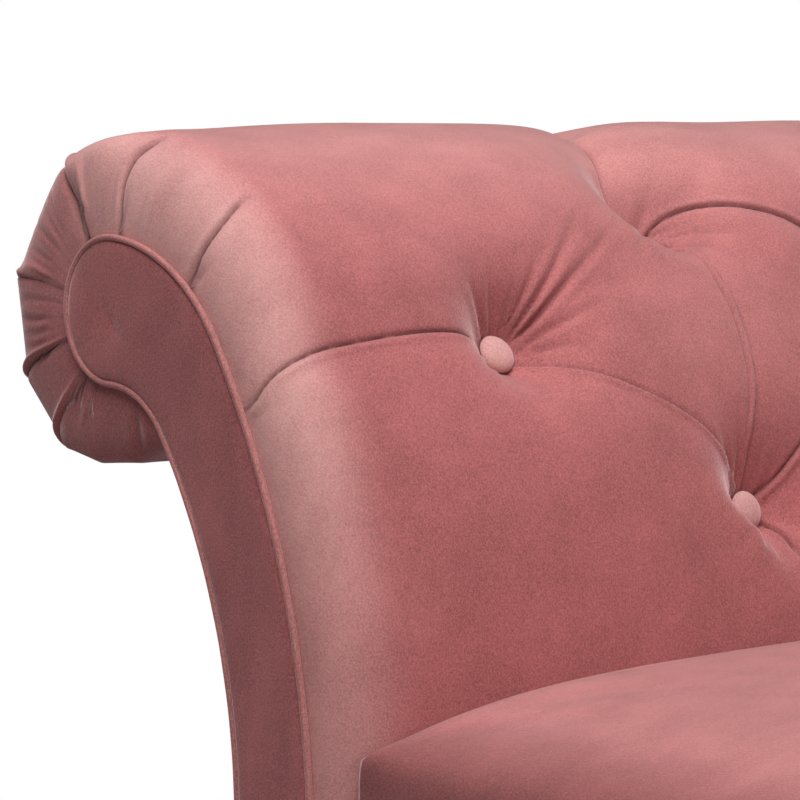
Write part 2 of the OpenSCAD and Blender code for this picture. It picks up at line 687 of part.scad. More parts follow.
// The face of such a ring: strips across the neck, then the scroll's own round end
function facing_face(at, n, front) = let (k = sweep_n + shoulder_n + 1, e = at + n - 1) concat(
    [for (i = [0:k - 1]) let (a = at + i, b = a + 1, c = e - i, d = c - 1)
        each front ? [[a, c, b], [b, c, d]] : [[a, b, c], [b, d, c]]],
    [front ? [for (i = [n - 1 - k:-1:k]) at + i] : [for (i = [k:n - 1 - k]) at + i]]);
module facing_cover() {
    n = len(facing_rings[0]);
    m = len(facing_rings);
    polyhedron(flat(facing_rings), concat(
        [for (i = [0:m - 2], j = [0:n - 1])
            let (a = i * n + j, b = i * n + (j + 1) % n, c = a + n, d = b + n) each [[a, b, c], [b, d, c]]],
        facing_face(0, n, true),
        facing_face((m - 1) * n, n, false)));
}
module front_facing_cover() {
    color(velvet_dark) facing_cover();
}
module rear_facing_cover() {
    color(velvet_dark) mirror([0, 1, 0]) facing_cover();
}

// Welt: a covered cord round the facing, from hem to hem
welt_sides = 8;
welt_path = outline(welt_r + soft_gap, rail_z);
function along(v, i) = let (d = v[min(i + 1, len(v) - 1)] - v[max(i - 1, 0)]) d / norm(d);
module welt() {
    m = len(welt_path);
    points = [for (i = [0:m - 1], k = [0:welt_sides - 1])
        let (t = along(welt_path, i), out = [-t[1], t[0]], a = 360 * (k + 0.5) / welt_sides,
            p = welt_path[i] + out * welt_r * cos(a))
        [p[0], -half_d + welt_r + welt_r * sin(a), i == 0 || i == m - 1 ? rail_z : p[1]]];
    polyhedron(points, concat(
        [for (i = [0:m - 2], k = [0:welt_sides - 1])
            let (a = i * welt_sides + k, b = i * welt_sides + (k + 1) % welt_sides,
                c = a + welt_sides, d = b + welt_sides) each [[a, b, c], [b, d, c]]],
        [[for (k = [welt_sides - 1:-1:0]) k]],
        [[for (k = [0:welt_sides - 1]) (m - 1) * welt_sides + k]]));
}
module front_welt() {
    color(velvet) welt();
}
module rear_welt() {
    color(velvet) mirror([0, 1, 0]) welt();
}

// Outside cover, from the hollow under the roll down to the hem
module outside_cover() {
    color(velvet) across(concat(nape_side(0, rail_z), reverse(nape_side(-outside_cover_t, rail_z))),
        -board_y, board_y);
}
dust_in = rail_t / 4;
module dust_cover() {
    color(webbing) difference() {
        bar(neck_x0 + dust_in, foot_x - dust_in, -rail_y + dust_in, rail_y - dust_in,
            rail_z - dust_t, rail_z);
        for (x = leg_xs, s = [-1, 1]) translate([x, s * leg_y, rail_z - dust_t - cut])
            cylinder(h = dust_t + 2 * cut, r = leg_top_r + dust_t, $fn = 64);
    }
}

// Turned legs, their bolts, threaded inserts and glides
leg_neck_r = leg_top_r * 0.72;
leg_bead_z = leg_h - leg_collar_h - 2 * leg_bead_r;
leg_knee_z = leg_h * 0.42;
glide_pin_r = bolt_r / 2;
glide_pin_l = glide_h * 3;
leg_profile = concat(
    [[0, glide_h], [leg_foot_r - leg_bead_r / 4, glide_h], [leg_foot_r, glide_h + leg_bead_r / 4]],
    [for (i = [0:8]) let (s = i / 8, z = glide_h + leg_bead_r + (leg_bead_z - glide_h - leg_bead_r) * s)
        [leg_foot_r + (leg_top_r - leg_foot_r) * sin(90 * pow(s, 0.8)) * (1 - 0.12 * s * s), z]],
    [for (a = [-90:20:90]) [leg_neck_r + leg_bead_r * cos(a), leg_bead_z + leg_bead_r * (1 + sin(a))]],
    [[leg_top_r, leg_h - leg_collar_h], [leg_top_r, leg_h], [0, leg_h]]);
module leg() {
    difference() {
        rotate_extrude($fn = 64) polygon(leg_profile);
        translate([0, 0, leg_h - bolt_leg_l - cut])
            cylinder(h = bolt_leg_l + 2 * cut, r = bolt_r + hole_gap, $fn = 32);
        translate([0, 0, glide_h - cut])
            cylinder(h = glide_pin_l + 2 * cut, r = glide_pin_r + hole_gap, $fn = 24);
    }
}
module front_head_leg() {
    color(walnut) translate([head_leg_x, -leg_y, 0]) leg();
}
module rear_head_leg() {
    color(walnut) translate([head_leg_x, leg_y, 0]) leg();
}
module front_foot_leg() {
    color(walnut) translate([foot_leg_x, -leg_y, 0]) leg();
}
module rear_foot_leg() {
    color(walnut) translate([foot_leg_x, leg_y, 0]) leg();
}
module at_legs() {
    for (x = leg_xs, s = [-1, 1]) translate([x, s * leg_y, 0]) children();
}
module leg_bolts() {
    color(steel) at_legs() translate([0, 0, leg_h - bolt_leg_l])
        cylinder(h = bolt_leg_l + bolt_frame_l, r = bolt_r, $fn = 32);
}
module threaded_inserts() {
    color(steel) at_legs() translate([0, 0, rail_z]) difference() {
        cylinder(h = insert_l, r = insert_r, $fn = 32);
        translate([0, 0, -cut]) cylinder(h = insert_l + 2 * cut, r = bolt_r + hole_gap, $fn = 32);
    }
}
module glides() {
    color(nylon) at_legs() {
        cylinder(h = glide_h, r1 = glide_r - glide_h / 2, r2 = glide_r, $fn = 48);
        cylinder(h = glide_h + glide_pin_l, r = glide_pin_r, $fn = 24);
    }
}

seat_front_rail();
seat_rear_rail();
seat_foot_rail();
head_base_rail();
deck_slat();
cross_braces();
corner_blocks();
head_front_board();
head_rear_board();
head_front_rib();
head_rear_rib();
head_slats();
tufting_board();
outside_backer();
frame_bolts();
frame_nuts();
cross_webbing();
long_webbing();
deck_felt();
seat_foam();
seat_cover();
head_foam();
head_cover();
tufting_buttons();
button_twine();
twine_toggles();
front_facing_board();
rear_facing_board();
front_facing_cover();
rear_facing_cover();
front_welt();
rear_welt();
outside_cover();
dust_cover();
front_head_leg();
rear_head_leg();
front_foot_leg();
rear_foot_leg();
leg_bolts();
threaded_inserts();
glides();
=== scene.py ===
# %% [markdown]
# # A fainting couch with a rolled, buttoned head
# The couch has one raised end that rolls over into a scroll, a long crowned
# seat and an open foot. Everything is covered in dusty rose velvet. The
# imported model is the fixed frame: this script dresses it with cloth, padding
# and finishes, and never moves it. X runs from head to foot, -Y is the front.

# %% Open the frame
import json
import math

import bmesh
import bpy
import numpy as np
from mathutils import Matrix, Vector, geometry

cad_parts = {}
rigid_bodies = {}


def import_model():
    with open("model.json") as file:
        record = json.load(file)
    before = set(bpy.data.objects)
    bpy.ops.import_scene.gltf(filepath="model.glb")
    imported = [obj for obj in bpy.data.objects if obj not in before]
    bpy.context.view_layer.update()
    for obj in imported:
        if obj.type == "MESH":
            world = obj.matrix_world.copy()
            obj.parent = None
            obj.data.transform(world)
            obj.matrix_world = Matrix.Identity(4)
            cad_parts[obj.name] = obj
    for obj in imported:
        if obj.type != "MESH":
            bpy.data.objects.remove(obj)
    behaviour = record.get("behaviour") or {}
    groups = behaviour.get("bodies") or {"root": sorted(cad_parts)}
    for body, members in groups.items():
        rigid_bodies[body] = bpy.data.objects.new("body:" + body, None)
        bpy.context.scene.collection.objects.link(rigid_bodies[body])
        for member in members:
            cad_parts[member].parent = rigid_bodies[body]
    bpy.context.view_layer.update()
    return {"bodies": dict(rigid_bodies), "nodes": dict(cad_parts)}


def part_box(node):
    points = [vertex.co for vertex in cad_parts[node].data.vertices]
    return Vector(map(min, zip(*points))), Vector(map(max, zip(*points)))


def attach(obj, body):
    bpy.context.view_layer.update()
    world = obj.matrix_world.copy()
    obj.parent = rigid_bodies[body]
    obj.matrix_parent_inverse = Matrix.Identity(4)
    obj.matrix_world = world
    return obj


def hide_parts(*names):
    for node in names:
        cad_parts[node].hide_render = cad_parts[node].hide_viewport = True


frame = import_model()
BODY = sorted(frame["bodies"])[0]
SIDES = (("front", -1), ("rear", 1))          # the name and the sign of Y
nodes = frame["nodes"]
print("body:", BODY, "- nodes:", len(nodes))

# %% [markdown]
# ## The camera
# The picture is a close view of the head end, taken from the front and the
# foot side at about eye height for someone sitting. A long lens from 2.3 m
# keeps the roll round. The camera is made first, so that any early error
# still leaves a view to look through.

# %% Camera
AZIMUTH, ELEVATION, DISTANCE = math.radians(49), math.radians(5), 2.3
LOOK_AT = Vector((-0.60195, -0.26597, 0.66289))


def way_to(azimuth, elevation):
    """The direction of an azimuth, which is 0 at the front and a right angle at the foot, and an elevation."""
    return Vector((math.sin(azimuth) * math.cos(elevation), -math.cos(azimuth) * math.cos(elevation),
                   math.sin(elevation)))


back = way_to(AZIMUTH, ELEVATION)
camera = bpy.data.objects.new("camera", bpy.data.cameras.new("camera"))
camera.location = LOOK_AT + DISTANCE * back
camera.rotation_mode = "QUATERNION"
camera.rotation_quaternion = (-back).to_track_quat("-Z", "Y")
camera.data.sensor_width = 36.0
camera.data.lens = 155.25
camera.data.clip_start, camera.data.clip_end = 0.05, 60.0
bpy.context.scene.collection.objects.link(camera)
bpy.context.scene.camera = camera
print("camera at", [round(c, 3) for c in camera.location])

# %% [markdown]
# ## Finishes
# A finish here is a small graph of nodes: where on the piece am I, how does
# the pile or the grain run there, and what does that do to colour, roughness
# and bump. To keep such graphs readable, `Wire` wraps a socket so that Python
# arithmetic adds the Math nodes, and `Finish` makes every other node.

# %% Wires and finishes
class Wire:
    """One output of a node; arithmetic on it adds Math nodes to its finish."""

    def __init__(self, finish, socket):
        self.finish, self.socket = finish, socket

    def math(self, operation, *others):
        return self.finish.add("Math", {"operation": operation}, self, *others)

    def __add__(self, other):
        return self.math("ADD", other)

    def __sub__(self, other):
        return self.math("SUBTRACT", other)

    def __mul__(self, other):
        return self.math("MULTIPLY", other)

    def __truediv__(self, other):
        return self.math("DIVIDE", other)

    def __rsub__(self, other):
        return self.finish.add("Math", {"operation": "SUBTRACT"}, other, self)

    __radd__ = __add__
    __rmul__ = __mul__

    def clamped(self):
        """The value kept between 0 and 1."""
        return self.finish.add("Math", {"operation": "ADD", "use_clamp": True}, self, 0.0)


class Finish:
    """A material and the one way that nodes are added to it."""

    def __init__(self, name, **constants):
        self.material = bpy.data.materials.new(name)
        self.material.use_nodes = True
        self.tree = self.material.node_tree
        self.shader = self.tree.nodes["Principled BSDF"]
        for socket, value in constants.items():
            self.shader.inputs[socket.replace("_", " ")].default_value = value
        self.where = self.add("TexCoord", {}, pick="Object")

    def add(self, kind, settings, *values, pick=0, **named):
        """A node with its settings, then its sockets by order or by name."""
        node = self.tree.nodes.new("ShaderNode" + kind)
        for key, value in settings.items():
            setattr(node, key, value)
        for socket, value in enumerate(values):
            self.set(node.inputs[socket], value)
        for socket, value in named.items():
            self.set(node.inputs[socket.replace("_", " ")], value)
        return Wire(self, node.outputs[pick])

    def set(self, socket, value):
        """A socket takes a wire or a plain value."""
        if isinstance(value, Wire):
            self.tree.links.new(value.socket, socket)
        else:
            socket.default_value = value

    def stretch(self, *scale):
        """The place on the piece, scaled along each axis."""
        return self.add("Mapping", {}, Vector=self.where, Scale=scale)

    def noise(self, scale, detail=3.0, roughness=0.55, at=None):
        """Soft noise from 0 to 1, `scale` waves to the metre."""
        return self.add("TexNoise", {}, Vector=at or self.where, Scale=scale, Detail=detail,
                        Roughness=roughness, pick="Fac")

    def waves(self, direction, scale, distortion, detail=2.0, at=None):
        """Bands from 0 to 1 across a direction."""
        return self.add("TexWave", {"wave_type": "BANDS", "bands_direction": direction}, Vector=at or self.where,
                        Scale=scale, Distortion=distortion, Detail=detail, pick="Fac")

    def blend(self, factor, first, second):
        """Two colours mixed by a factor. A Mix node has its colour sockets at 6 and 7, and gives a colour at 2."""
        mixed = self.add("Mix", {"data_type": "RGBA"}, pick=2)
        for socket, value in ((0, factor), (6, first), (7, second)):
            self.set(mixed.socket.node.inputs[socket], value)
        return mixed

    def reading(self, name):
        """A number that the piece's mesh carries at each point."""
        return self.add("Attribute", {"attribute_name": name}, pick="Fac")

    def feed(self, socket, value):
        """A wire to one of the shader's sockets."""
        self.set(self.shader.inputs[socket], value)

    def raise_surface(self, height, distance, strength):
        """Fine relief of the pile or the grain, `distance` metres high."""
        self.feed("Normal", self.add("Bump", {}, Strength=strength, Distance=distance,
                                     Height=height, pick="Normal"))

    def done(self, tone, first, second, rough, height, distance, strength):
        """The usual end of a finish: a tone between two colours, a roughness and a fine relief."""
        self.feed("Base Color", self.blend(tone, first, second))
        self.feed("Roughness", rough)
        self.raise_surface(height, distance, strength)
        return self.material


def shade(red, green, blue):
    """A colour given as it looks on a screen, from 0 to 255, as light."""
    light = [((c / 255 + 0.055) / 1.055) ** 2.4 if c > 10 else c / 255 / 12.92 for c in (red, green, blue)]
    return (*light, 1.0)


# %% [markdown]
# ## Velvet
# Velvet is a dense short pile. It scatters light at grazing angles, which
# makes rims glow, and it shows soft clouds where hands brushed it. Painted
# shade darkens the colour inside folds, and a painted highlight pales it where
# the cloth rounds over an edge. The sheen is a constant on the shader; the
# clouds, the painted shade and the painted highlight feed the colour, and a
# fine speckle stands for the pile.

# %% Velvet finish
SHEEN, SHEEN_ROUGHNESS, SHEEN_TINT = 0.85, 0.35, (1.0, 0.82, 0.81, 1.0)
PAINTED_SHADE_SHARE, DARK_PILE, LIGHT_PILE = 0.22, 0.70, 1.30      # shares of the colour under the painted shade in a fold, and at the dark and light ends of the pile's speckle
# ROSE_PALE is the pale colour of the clouds and of the painted highlight
ROSE, ROSE_PALE = shade(174, 101, 101), shade(228, 172, 167)


def dimmed(colour, share):
    """A colour with its light scaled by a share."""
    return (*(c * share for c in colour[:3]), 1.0)


def velvet(name, colour, pale, speckle=1.0, shaped=False):
    """A velvet; a shaped piece carries at each point how much painted shade and painted highlight its colour gets."""
    f = Finish(name, Roughness=0.85, Specular_IOR_Level=0.15, Sheen_Weight=SHEEN,
               Sheen_Roughness=SHEEN_ROUGHNESS, Sheen_Tint=SHEEN_TINT)
    clouds = f.noise(6.0, 2.0, 0.5)
    brushed = f.noise(34.0, 3.0, 0.6, f.stretch(1.0, 0.55, 0.55))
    pile = f.noise(720.0, 3.0, 0.7)
    tone = 0.5 + (pile - 0.5) * 3.4 * speckle + (brushed - 0.5) * 0.9 * speckle + (clouds - 0.5) * 0.5
    body = f.blend(tone.clamped(), dimmed(colour, DARK_PILE), dimmed(colour, LIGHT_PILE))
    body = f.blend(((clouds - 0.58) * 1.6 + (brushed - 0.5) * 0.5).clamped() * 0.3, body, pale)
    if shaped:
        # The colour is paled by a painted highlight where the cloth rounds over edges and the crest.
        sheen_share = f.reading("stretched") * (0.8 + (pile - 0.5) * 0.9 + (brushed - 0.5) * 0.7)
        body = f.blend(sheen_share.clamped(), body, pale)
        # The colour is darkened by painted shade inside folds and creases.
        body = f.blend((f.reading("folded") * 0.8).clamped(), body, dimmed(colour, PAINTED_SHADE_SHARE))
    f.feed("Base Color", body)
    f.feed("Roughness", 0.72 + pile * 0.2)
    f.raise_surface(pile * 0.8 + f.noise(260.0, 2.0, 0.5) * 0.5, 0.0007, 0.6)
    return f.material


rose_velvet = velvet("rose_velvet", ROSE, ROSE_PALE, shaped=True)
rose_plain = velvet("rose_velvet_plain", ROSE, ROSE_PALE)
rose_welt = velvet("rose_velvet_on_cord", shade(182, 118, 115), ROSE_PALE)      # paler than the cover
button_velvet = velvet("button_velvet", shade(206, 154, 150), shade(222, 180, 175), 0.5)
print("velvets:", rose_velvet.name, rose_plain.name, button_velvet.name)


# %% [markdown]
# ## Wood, boards, metal and the cloths underneath
# The legs are stained walnut under a satin lacquer: long streaks of grain run
# up the leg, and wavy rings cross them.
# The parts inside are plainer, but they too have grain, plies, weave or cells,
# because anyone who opens the couch up will look at them.

# %% Wood finishes
def timber(name, pale, dark, streak, rings, lacquer, rough):
    """Timber whose grain runs along the first axis of `streak`."""
    f = Finish(name, Specular_IOR_Level=0.45, Coat_Weight=lacquer, Coat_Roughness=0.18)
    along = f.stretch(*streak)
    grain = f.noise(1.0, 6.0, 0.62, along)
    bend = f.noise(rings * 0.25, 2.0, 0.5)
    wave = f.waves("DIAGONAL", 0.35, 5.0, 3.0, along)
    tone = (grain * 0.75 + wave * 0.3 + (bend - 0.5) * 0.5 - 0.1).clamped()
    return f.done(tone, dark, pale, rough + (grain - 0.5) * 0.25, grain, 0.0004, 0.4)


walnut = timber("walnut", shade(104, 66, 44), shade(48, 28, 19), (190, 190, 9), 30.0, 0.35, 0.38)
pine = timber("pine", shade(222, 186, 134), shade(180, 132, 80), (6, 160, 160), 20.0, 0.0, 0.62)


def plywood_finish():
    """Plywood shows thin plies on its edges and a calm rotary grain on its face."""
    f = Finish("plywood", Specular_IOR_Level=0.3)
    grain = f.noise(1.0, 5.0, 0.6, f.stretch(30, 30, 8))
    plies = f.waves("Y", 170.0, 0.3, 1.0)
    tone = (grain * 0.8 + plies * 0.22).clamped()
    return f.done(tone, shade(168, 122, 76), shade(214, 176, 126), 0.6 + grain * 0.2, grain + plies * 0.4, 0.0003, 0.4)


WAVES_A_METRE = 0.314                         # scale of a wave texture that gives one band to the metre


def woven_finish(name, warp, weft, pitch, rough=0.85):
    """A plain weave: two sets of threads that cross, `pitch` threads to the metre."""
    f = Finish(name, Specular_IOR_Level=0.2)
    across, along = (f.waves(way, pitch * WAVES_A_METRE, 0.6) for way in "XY")
    fuzz = f.noise(900.0, 2.0)
    tone = (across * 0.5 + along * 0.3 + (fuzz - 0.5) * 0.5).clamped()
    return f.done(tone, warp, weft, rough + (fuzz - 0.5) * 0.2, across * 0.5 + along * 0.5, 0.0004, 0.6)


def cellular_finish(name, pale, dark, scale, rough, bump):
    """Foam or felt: tiny cells or matted fibres with slow stains over them."""
    f = Finish(name, Specular_IOR_Level=0.2)
    cells = f.add("TexVoronoi", {"feature": "F1"}, Vector=f.where, Scale=scale, pick="Distance")
    slow = f.noise(9.0, 3.0)
    fuzz = f.noise(scale * 1.7, 2.0)
    tone = (cells * 0.7 + (slow - 0.5) * 0.8 + fuzz * 0.3).clamped()
    return f.done(tone, dark, pale, rough + (fuzz - 0.5) * 0.1, cells + fuzz * 0.4, bump, 0.5)


def metal_finish():
    """Bright zinc plate, a little blue and cloudy, with fine turning marks."""
    f = Finish("zinc_steel", Metallic=1.0)
    marks = f.noise(1.0, 3.0, 0.6, f.stretch(300, 300, 1800))
    slow = f.noise(60.0, 3.0)
    tone = (slow * 0.7 + marks * 0.3).clamped()
    return f.done(tone, shade(168, 172, 180), shade(214, 214, 212), 0.26 + marks * 0.16, marks, 0.0001, 0.3)


def moulded_finish():
    """Black moulded nylon: a fine spark-eroded grain and scuffs that read paler."""
    f = Finish("nylon", Specular_IOR_Level=0.4)
    grit = f.noise(1400.0, 2.0)
    scuff = f.noise(90.0, 4.0, 0.7)
    tone = ((scuff - 0.45) * 2.0).clamped() * 0.5
    return f.done(tone, shade(28, 28, 29), shade(70, 69, 68), 0.42 + grit * 0.25, grit, 0.0001, 0.3)


plywood = plywood_finish()
webbing = woven_finish("webbing", shade(46, 42, 40), shade(96, 88, 80), 700)
dust_cloth = woven_finish("dust_cloth", shade(26, 26, 28), shade(50, 50, 52), 1400, 0.92)
twine = woven_finish("twine", shade(170, 158, 132), shade(214, 204, 180), 900)
foam = cellular_finish("foam", shade(240, 226, 182), shade(214, 190, 130), 700.0, 0.9, 0.0006)
felt = cellular_finish("felt", shade(168, 168, 170), shade(116, 116, 120), 420.0, 0.95, 0.0005)
zinc_steel = metal_finish()
nylon = moulded_finish()
print("finishes:", len(bpy.data.materials))

# %% [markdown]
# ## The scroll's outline
# The facing is one smooth line of arcs, each tangent to the next: a long
# sweep that the sitter leans on, a shoulder, the small scroll, the hollow
# under it and the neck. The measures are those of the wooden boards inside.
# `grown` moves the whole line outwards, which is how the welt, the cloth and
# the boards stay parallel.

# %% Outline in the XZ plane
HALF_DEPTH = 0.410          # middle to the front of a facing
HEM_Z = 0.130               # where cloth ends, at the underside of the rails
SCROLL_R, SHOULDER_R, SWEEP_R, CURL_R, NAPE_R = 0.048, 0.141, 0.572, 0.071, 0.423
CREST, SHOULDER, CURL = 87.0, 33.5, 35.5      # turns where one arc meets the next


def toward(turn):
    """The direction of a turn in degrees, 0 to the foot and 90 up."""
    angle = np.radians(turn)
    return np.stack([np.cos(angle), np.sin(angle)], -1)


scroll = np.array([-0.734, 0.722])
roll, ROLL_R = scroll + (0, 0.008), 0.116
shoulder = scroll + (SCROLL_R - SHOULDER_R) * toward(CREST)
sweep = shoulder + (SHOULDER_R - SWEEP_R) * toward(SHOULDER)
curl = scroll - (0, SCROLL_R + CURL_R)
nape = curl + (CURL_R - NAPE_R) * toward(CURL)
FACE_X, NAPE_X = sweep[0] + SWEEP_R, nape[0] + NAPE_R


def outline(grown, low, pitch=0.004, start=0):
    """The facing's line from the hem on the seat side, over the scroll, to the hem at the neck.
    The number of points doesn't depend on `grown`, so that rings of it match."""
    def arc(centre, radius, change, first, last):
        count = round(abs(math.radians(last - first)) * radius / pitch)
        return centre + (radius + change) * toward(np.linspace(first, last, count + 1))[1:]

    def drop(x, top, bottom):
        count = round((sweep[1] - HEM_Z) / pitch)
        return np.stack([np.full(count + 1, x), np.linspace(top, bottom, count + 1)], -1)

    pieces = [drop(FACE_X + grown, low, sweep[1]),
              arc(sweep, SWEEP_R, grown, 0, SHOULDER), arc(shoulder, SHOULDER_R, grown, SHOULDER, CREST),
              arc(scroll, SCROLL_R, grown, CREST, 270), arc(curl, CURL_R, -grown, 90, CURL),
              arc(nape, NAPE_R, -grown, CURL, 0), drop(NAPE_X - grown, nape[1], low)[1:]]
    return np.concatenate(pieces[start:])


line = outline(0.0, HEM_Z)
print("outline points:", len(line), "from", line[0].round(3), "to", line[-1].round(3))

# %% [markdown]
# ## The cover's flat pattern
# The buttoned cover wraps a form that bends one way only, so it can be
# unrolled without stretching. An upholsterer draws pleats on the flat cloth;
# here too every fold is drawn in millimetres on that flat pattern: first how
# far up the cloth from the seat line, over the roll, then how far across
# from the middle. `section` gives, for each turn of the cloth, the foot of
# the filling and how far it swells out from there.

# %% The unrolled form
PAD_Y = 0.4052              # where the cover leaves the welt
TUCK = 304.0                # turn where the roll's underside meets the neck
BOTTOM, DROP = -8.77, 0.01  # the lowest turn; a negative one is a drop of a centimetre per unit
PAD_LOW, PAD_RISE = 0.040, 0.036                # the filling's thickness at the seat line, and its rise to the crest
ROLL_PAD, ROLL_RISE = 0.068, 0.008              # and on the roll: level with the scroll's middle, and its rise there
CLEAR = 0.0003              # clear of what it lies on


def section(turn):
    """Foot of the filling and its full swell, in the XZ plane, for an array of turns."""
    turn = np.asarray(turn, float)
    way = toward(np.maximum(turn, 0))
    thick = np.where(turn > CREST, ROLL_PAD + ROLL_RISE * np.sin(np.radians(turn)),
                     PAD_LOW + PAD_RISE * np.maximum(turn, 0) / CREST)[:, None]
    foot = np.empty((len(turn), 2))
    swell = thick * way
    for low, high, centre, radius in ((0, SHOULDER, sweep, SWEEP_R), (SHOULDER, CREST, shoulder, SHOULDER_R),
                                      (CREST, 270, scroll, SCROLL_R)):
        part = (turn >= low) & (turn <= high)
        foot[part] = centre + radius * way[part]
    below, tucked = turn < 0, turn > 270
    foot[below] = np.stack([np.full(below.sum(), FACE_X), sweep[1] + turn[below] * DROP], -1)
    share = (turn[tucked] - 270) / (TUCK - 270)
    foot[tucked] = curl + CURL_R * toward(90 + (CURL - 90) * share)
    swell[tucked] = roll + ROLL_R * toward(turn[tucked]) - foot[tucked]
    length = np.maximum(np.linalg.norm(swell, axis=1, keepdims=True), 1e-6)
    lift = swell * np.minimum(CLEAR / length, 0.5)
    return foot + lift, swell - lift


fine_turns = np.linspace(BOTTOM, TUCK, 8001)
fine_feet, fine_swells = section(fine_turns)
steps = np.hypot(*np.diff(fine_feet + fine_swells, axis=0).T)
fine_up = np.concatenate([[0.0], np.cumsum(steps)]) * 1000
fine_up -= np.interp(0, fine_turns, fine_up)
print("cloth from", round(fine_up[0]), "to", round(fine_up[-1]), "mm along the section")

# %% [markdown]
# ## Tufting and folds
# Four buttons pull the cover down to the board. Between them the spare cloth
# lies in pleats: narrow overlaps with one crisp edge and a shadow beside it.
# From each button soft wrinkles fan out, and where the roll ends the cloth is
# gathered into the welt, which leaves proud little ridges with flat cloth
# between them. Each fold below is a line on the flat pattern, in millimetres,
# drawn for the front half; most are mirrored to the rear.

# %% Buttons, pleats, wrinkles and gathers
# up, across, turn there, how much sooner the fuller puff below begins, share of the filling that is pulled in
BUTTONS = {"front": (329, -189, 30.5, 10, 0.77), "rear": (329, 189, 30.5, 10, 0.77),
           "upper": (434, 0, 54.0, 14, 0.82), "lower": (193, 0, 18.0, 27, 0.70)}
# line, (valley's depth share, reach), (crease, width), (lip, width, side), (fade at start, at end).
# The lip is on the side that its sign names, seen along the line.
PLEATS = [
    ([(329, -189), (334, -210), (336, -229), (336, -267), (334, -304), (330, -342), (326, -371), (321, -391),
      (315, -400), (306, -405.5)], (0.10, 20), (2.4, 1.2), (1.8, 3.6, -1), (4, 0)),
    ([(329, -189), (320, -176), (309, -152), (297, -125), (283, -98), (268, -70), (254, -47), (237, -25),
      (218, -8), (193, 0)], (0.05, 16), (1.3, 0.9), (1.8, 2.3, 1), (4, 4)),
    ([(434, 0), (445, 14), (451, 26), (449, 44), (441, 66), (430, 92), (416, 120), (394, 152), (362, 176), (329, 189)],
     (0.12, 22), (2.6, 1.2), (2.0, 3.0, -1), (4, 4)),
    ([(193, 0), (202, 11), (214, 29), (236, 54), (266, 92), (296, 136), (315, 170), (329, 189)],
     (0.10, 20), (2.8, 1.3), (2.4, 3.0, 1), (4, 4)),
    ([(434, 0), (438, 14), (428, 22), (402, 21), (370, 18), (341, 21), (309, 20), (281, 17), (255, 10), (229, 4),
      (208, 2), (193, 0)], (0.04, 16), (1.5, 1.0), (1.4, 2.6, 1), (4, 4)),
    ([(424, 12), (415, 15), (393, 14), (364, 12), (336, 14), (306, 13), (280, 10), (256, 4), (232, -1)],
     (0.0, 10), (0.9, 1.0), (0.5, 2.6, -1), (14, 20)),
    ([(434, 0), (450, -8), (469, -12), (484, -11), (508, -2), (532, 6), (559, 14), (589, 28), (620, 38)],
     (0.20, 24), (2.8, 1.6), (1.4, 3.2, -1), (4, 50)),
    ([(193, 0), (181, 16), (172, 24), (158, 27), (146, 30)], (0.04, 12), (2.2, 1.5), (1.2, 2.8, -1), (3, 16)),
]
EDGE_PLEATS = [          # short ones that start at the front welt, repeated at the rear
    ([(420, -405.5), (428, -405), (434, -402), (437, -396), (440, -389), (444, -380), (447, -366)],
     (0.03, 10), (3.0, 1.8), (1.6, 3.6, -1), (0, 20)),
    ([(543, -405.5), (549, -404.8), (553, -402), (555, -398.5), (554, -390), (549, -381), (541, -368)],
     (0.03, 10), (3.0, 1.8), (1.6, 3.6, -1), (0, 18)),
    ([(620, -405.5), (627, -405), (633, -404), (637, -401), (640, -393), (640, -384), (637, -370)],
     (0.04, 10), (5.0, 2.4), (2.6, 5.0, 1), (0, 14)),
    ([(724, -405.5), (729, -405), (733, -402), (736, -396), (738, -390), (739, -380)],
     (0.0, 9), (1.4, 1.8), (2.1, 3.6, 1), (0, 12)),
    ([(801, -405.5), (797, -405), (797, -402), (800, -396), (803, -390), (804, -380)],
     (0.0, 9), (3.4, 2.0), (3.4, 3.6, 1), (0, 12)),
    ([(872, -405.5), (861, -405), (852, -404), (850, -401), (853, -394), (857, -389), (858, -378)],
     (0.0, 9), (1.6, 1.8), (2.8, 3.8, 1), (0, 12)),
    ([(892, -405.5), (886, -405), (881, -404), (879, -401)], (0.0, 6), (0.7, 1.3), (0.4, 3.2, 1), (0, 6)),
]
WRINKLES = [             # start, end, depth, width; soft ones that fan out from the buttons
    ((340, -181), (398, -142), 3.4, 2.2), ((337, -179), (424, -92), 4.2, 2.6), ((334, -176), (420, -50), 3.4, 2.8),
    ((335, -178), (394, -96), 2.4, 2.2), ((331, -175), (352, -96), 1.9, 2.8), ((343, -187), (386, -193), 2.6, 2.0),
    ((342, -192), (380, -216), 2.2, 2.4), ((328, -172), (320, -120), 1.8, 2.4), ((341, -184), (380, -166), 2.6, 1.9),
    ((323, -199), (302, -236), 1.5, 3.4),
    ((317, -186), (288, -176), 0.8, 4.0), ((423, -14), (380, -66), 1.6, 4.0), ((446, 16), (424, 66), 1.6, 3.2),
    ((440, 20), (398, 70), 1.5, 3.6), ((424, 20), (372, 50), 0.9, 4.4), ((450, 8), (488, 34), 1.2, 4.2),
    ((450, -12), (480, -52), 1.2, 4.2), ((203, -8), (262, -30), 1.6, 2.4), ((204, -4), (276, -8), 1.4, 2.4),
    ((204, 6), (262, 26), 1.1, 2.6), ((200, 12), (240, 38), 1.0, 2.8), ((184, -15), (160, -48), 0.9, 4.4),
    ((173, -6), (136, -22), 0.8, 4.6), ((176, 12), (144, 46), 0.9, 4.2),
    ((340, 181), (384, 148), 2.2, 2.4), ((337, 179), (376, 106), 1.6, 3.0), ((343, 187), (390, 182), 1.3, 2.6),
    ((342, 192), (374, 214), 1.3, 2.6), ((323, 199), (302, 236), 1.5, 3.4), ((317, 186), (276, 178), 0.8, 4.4),
]
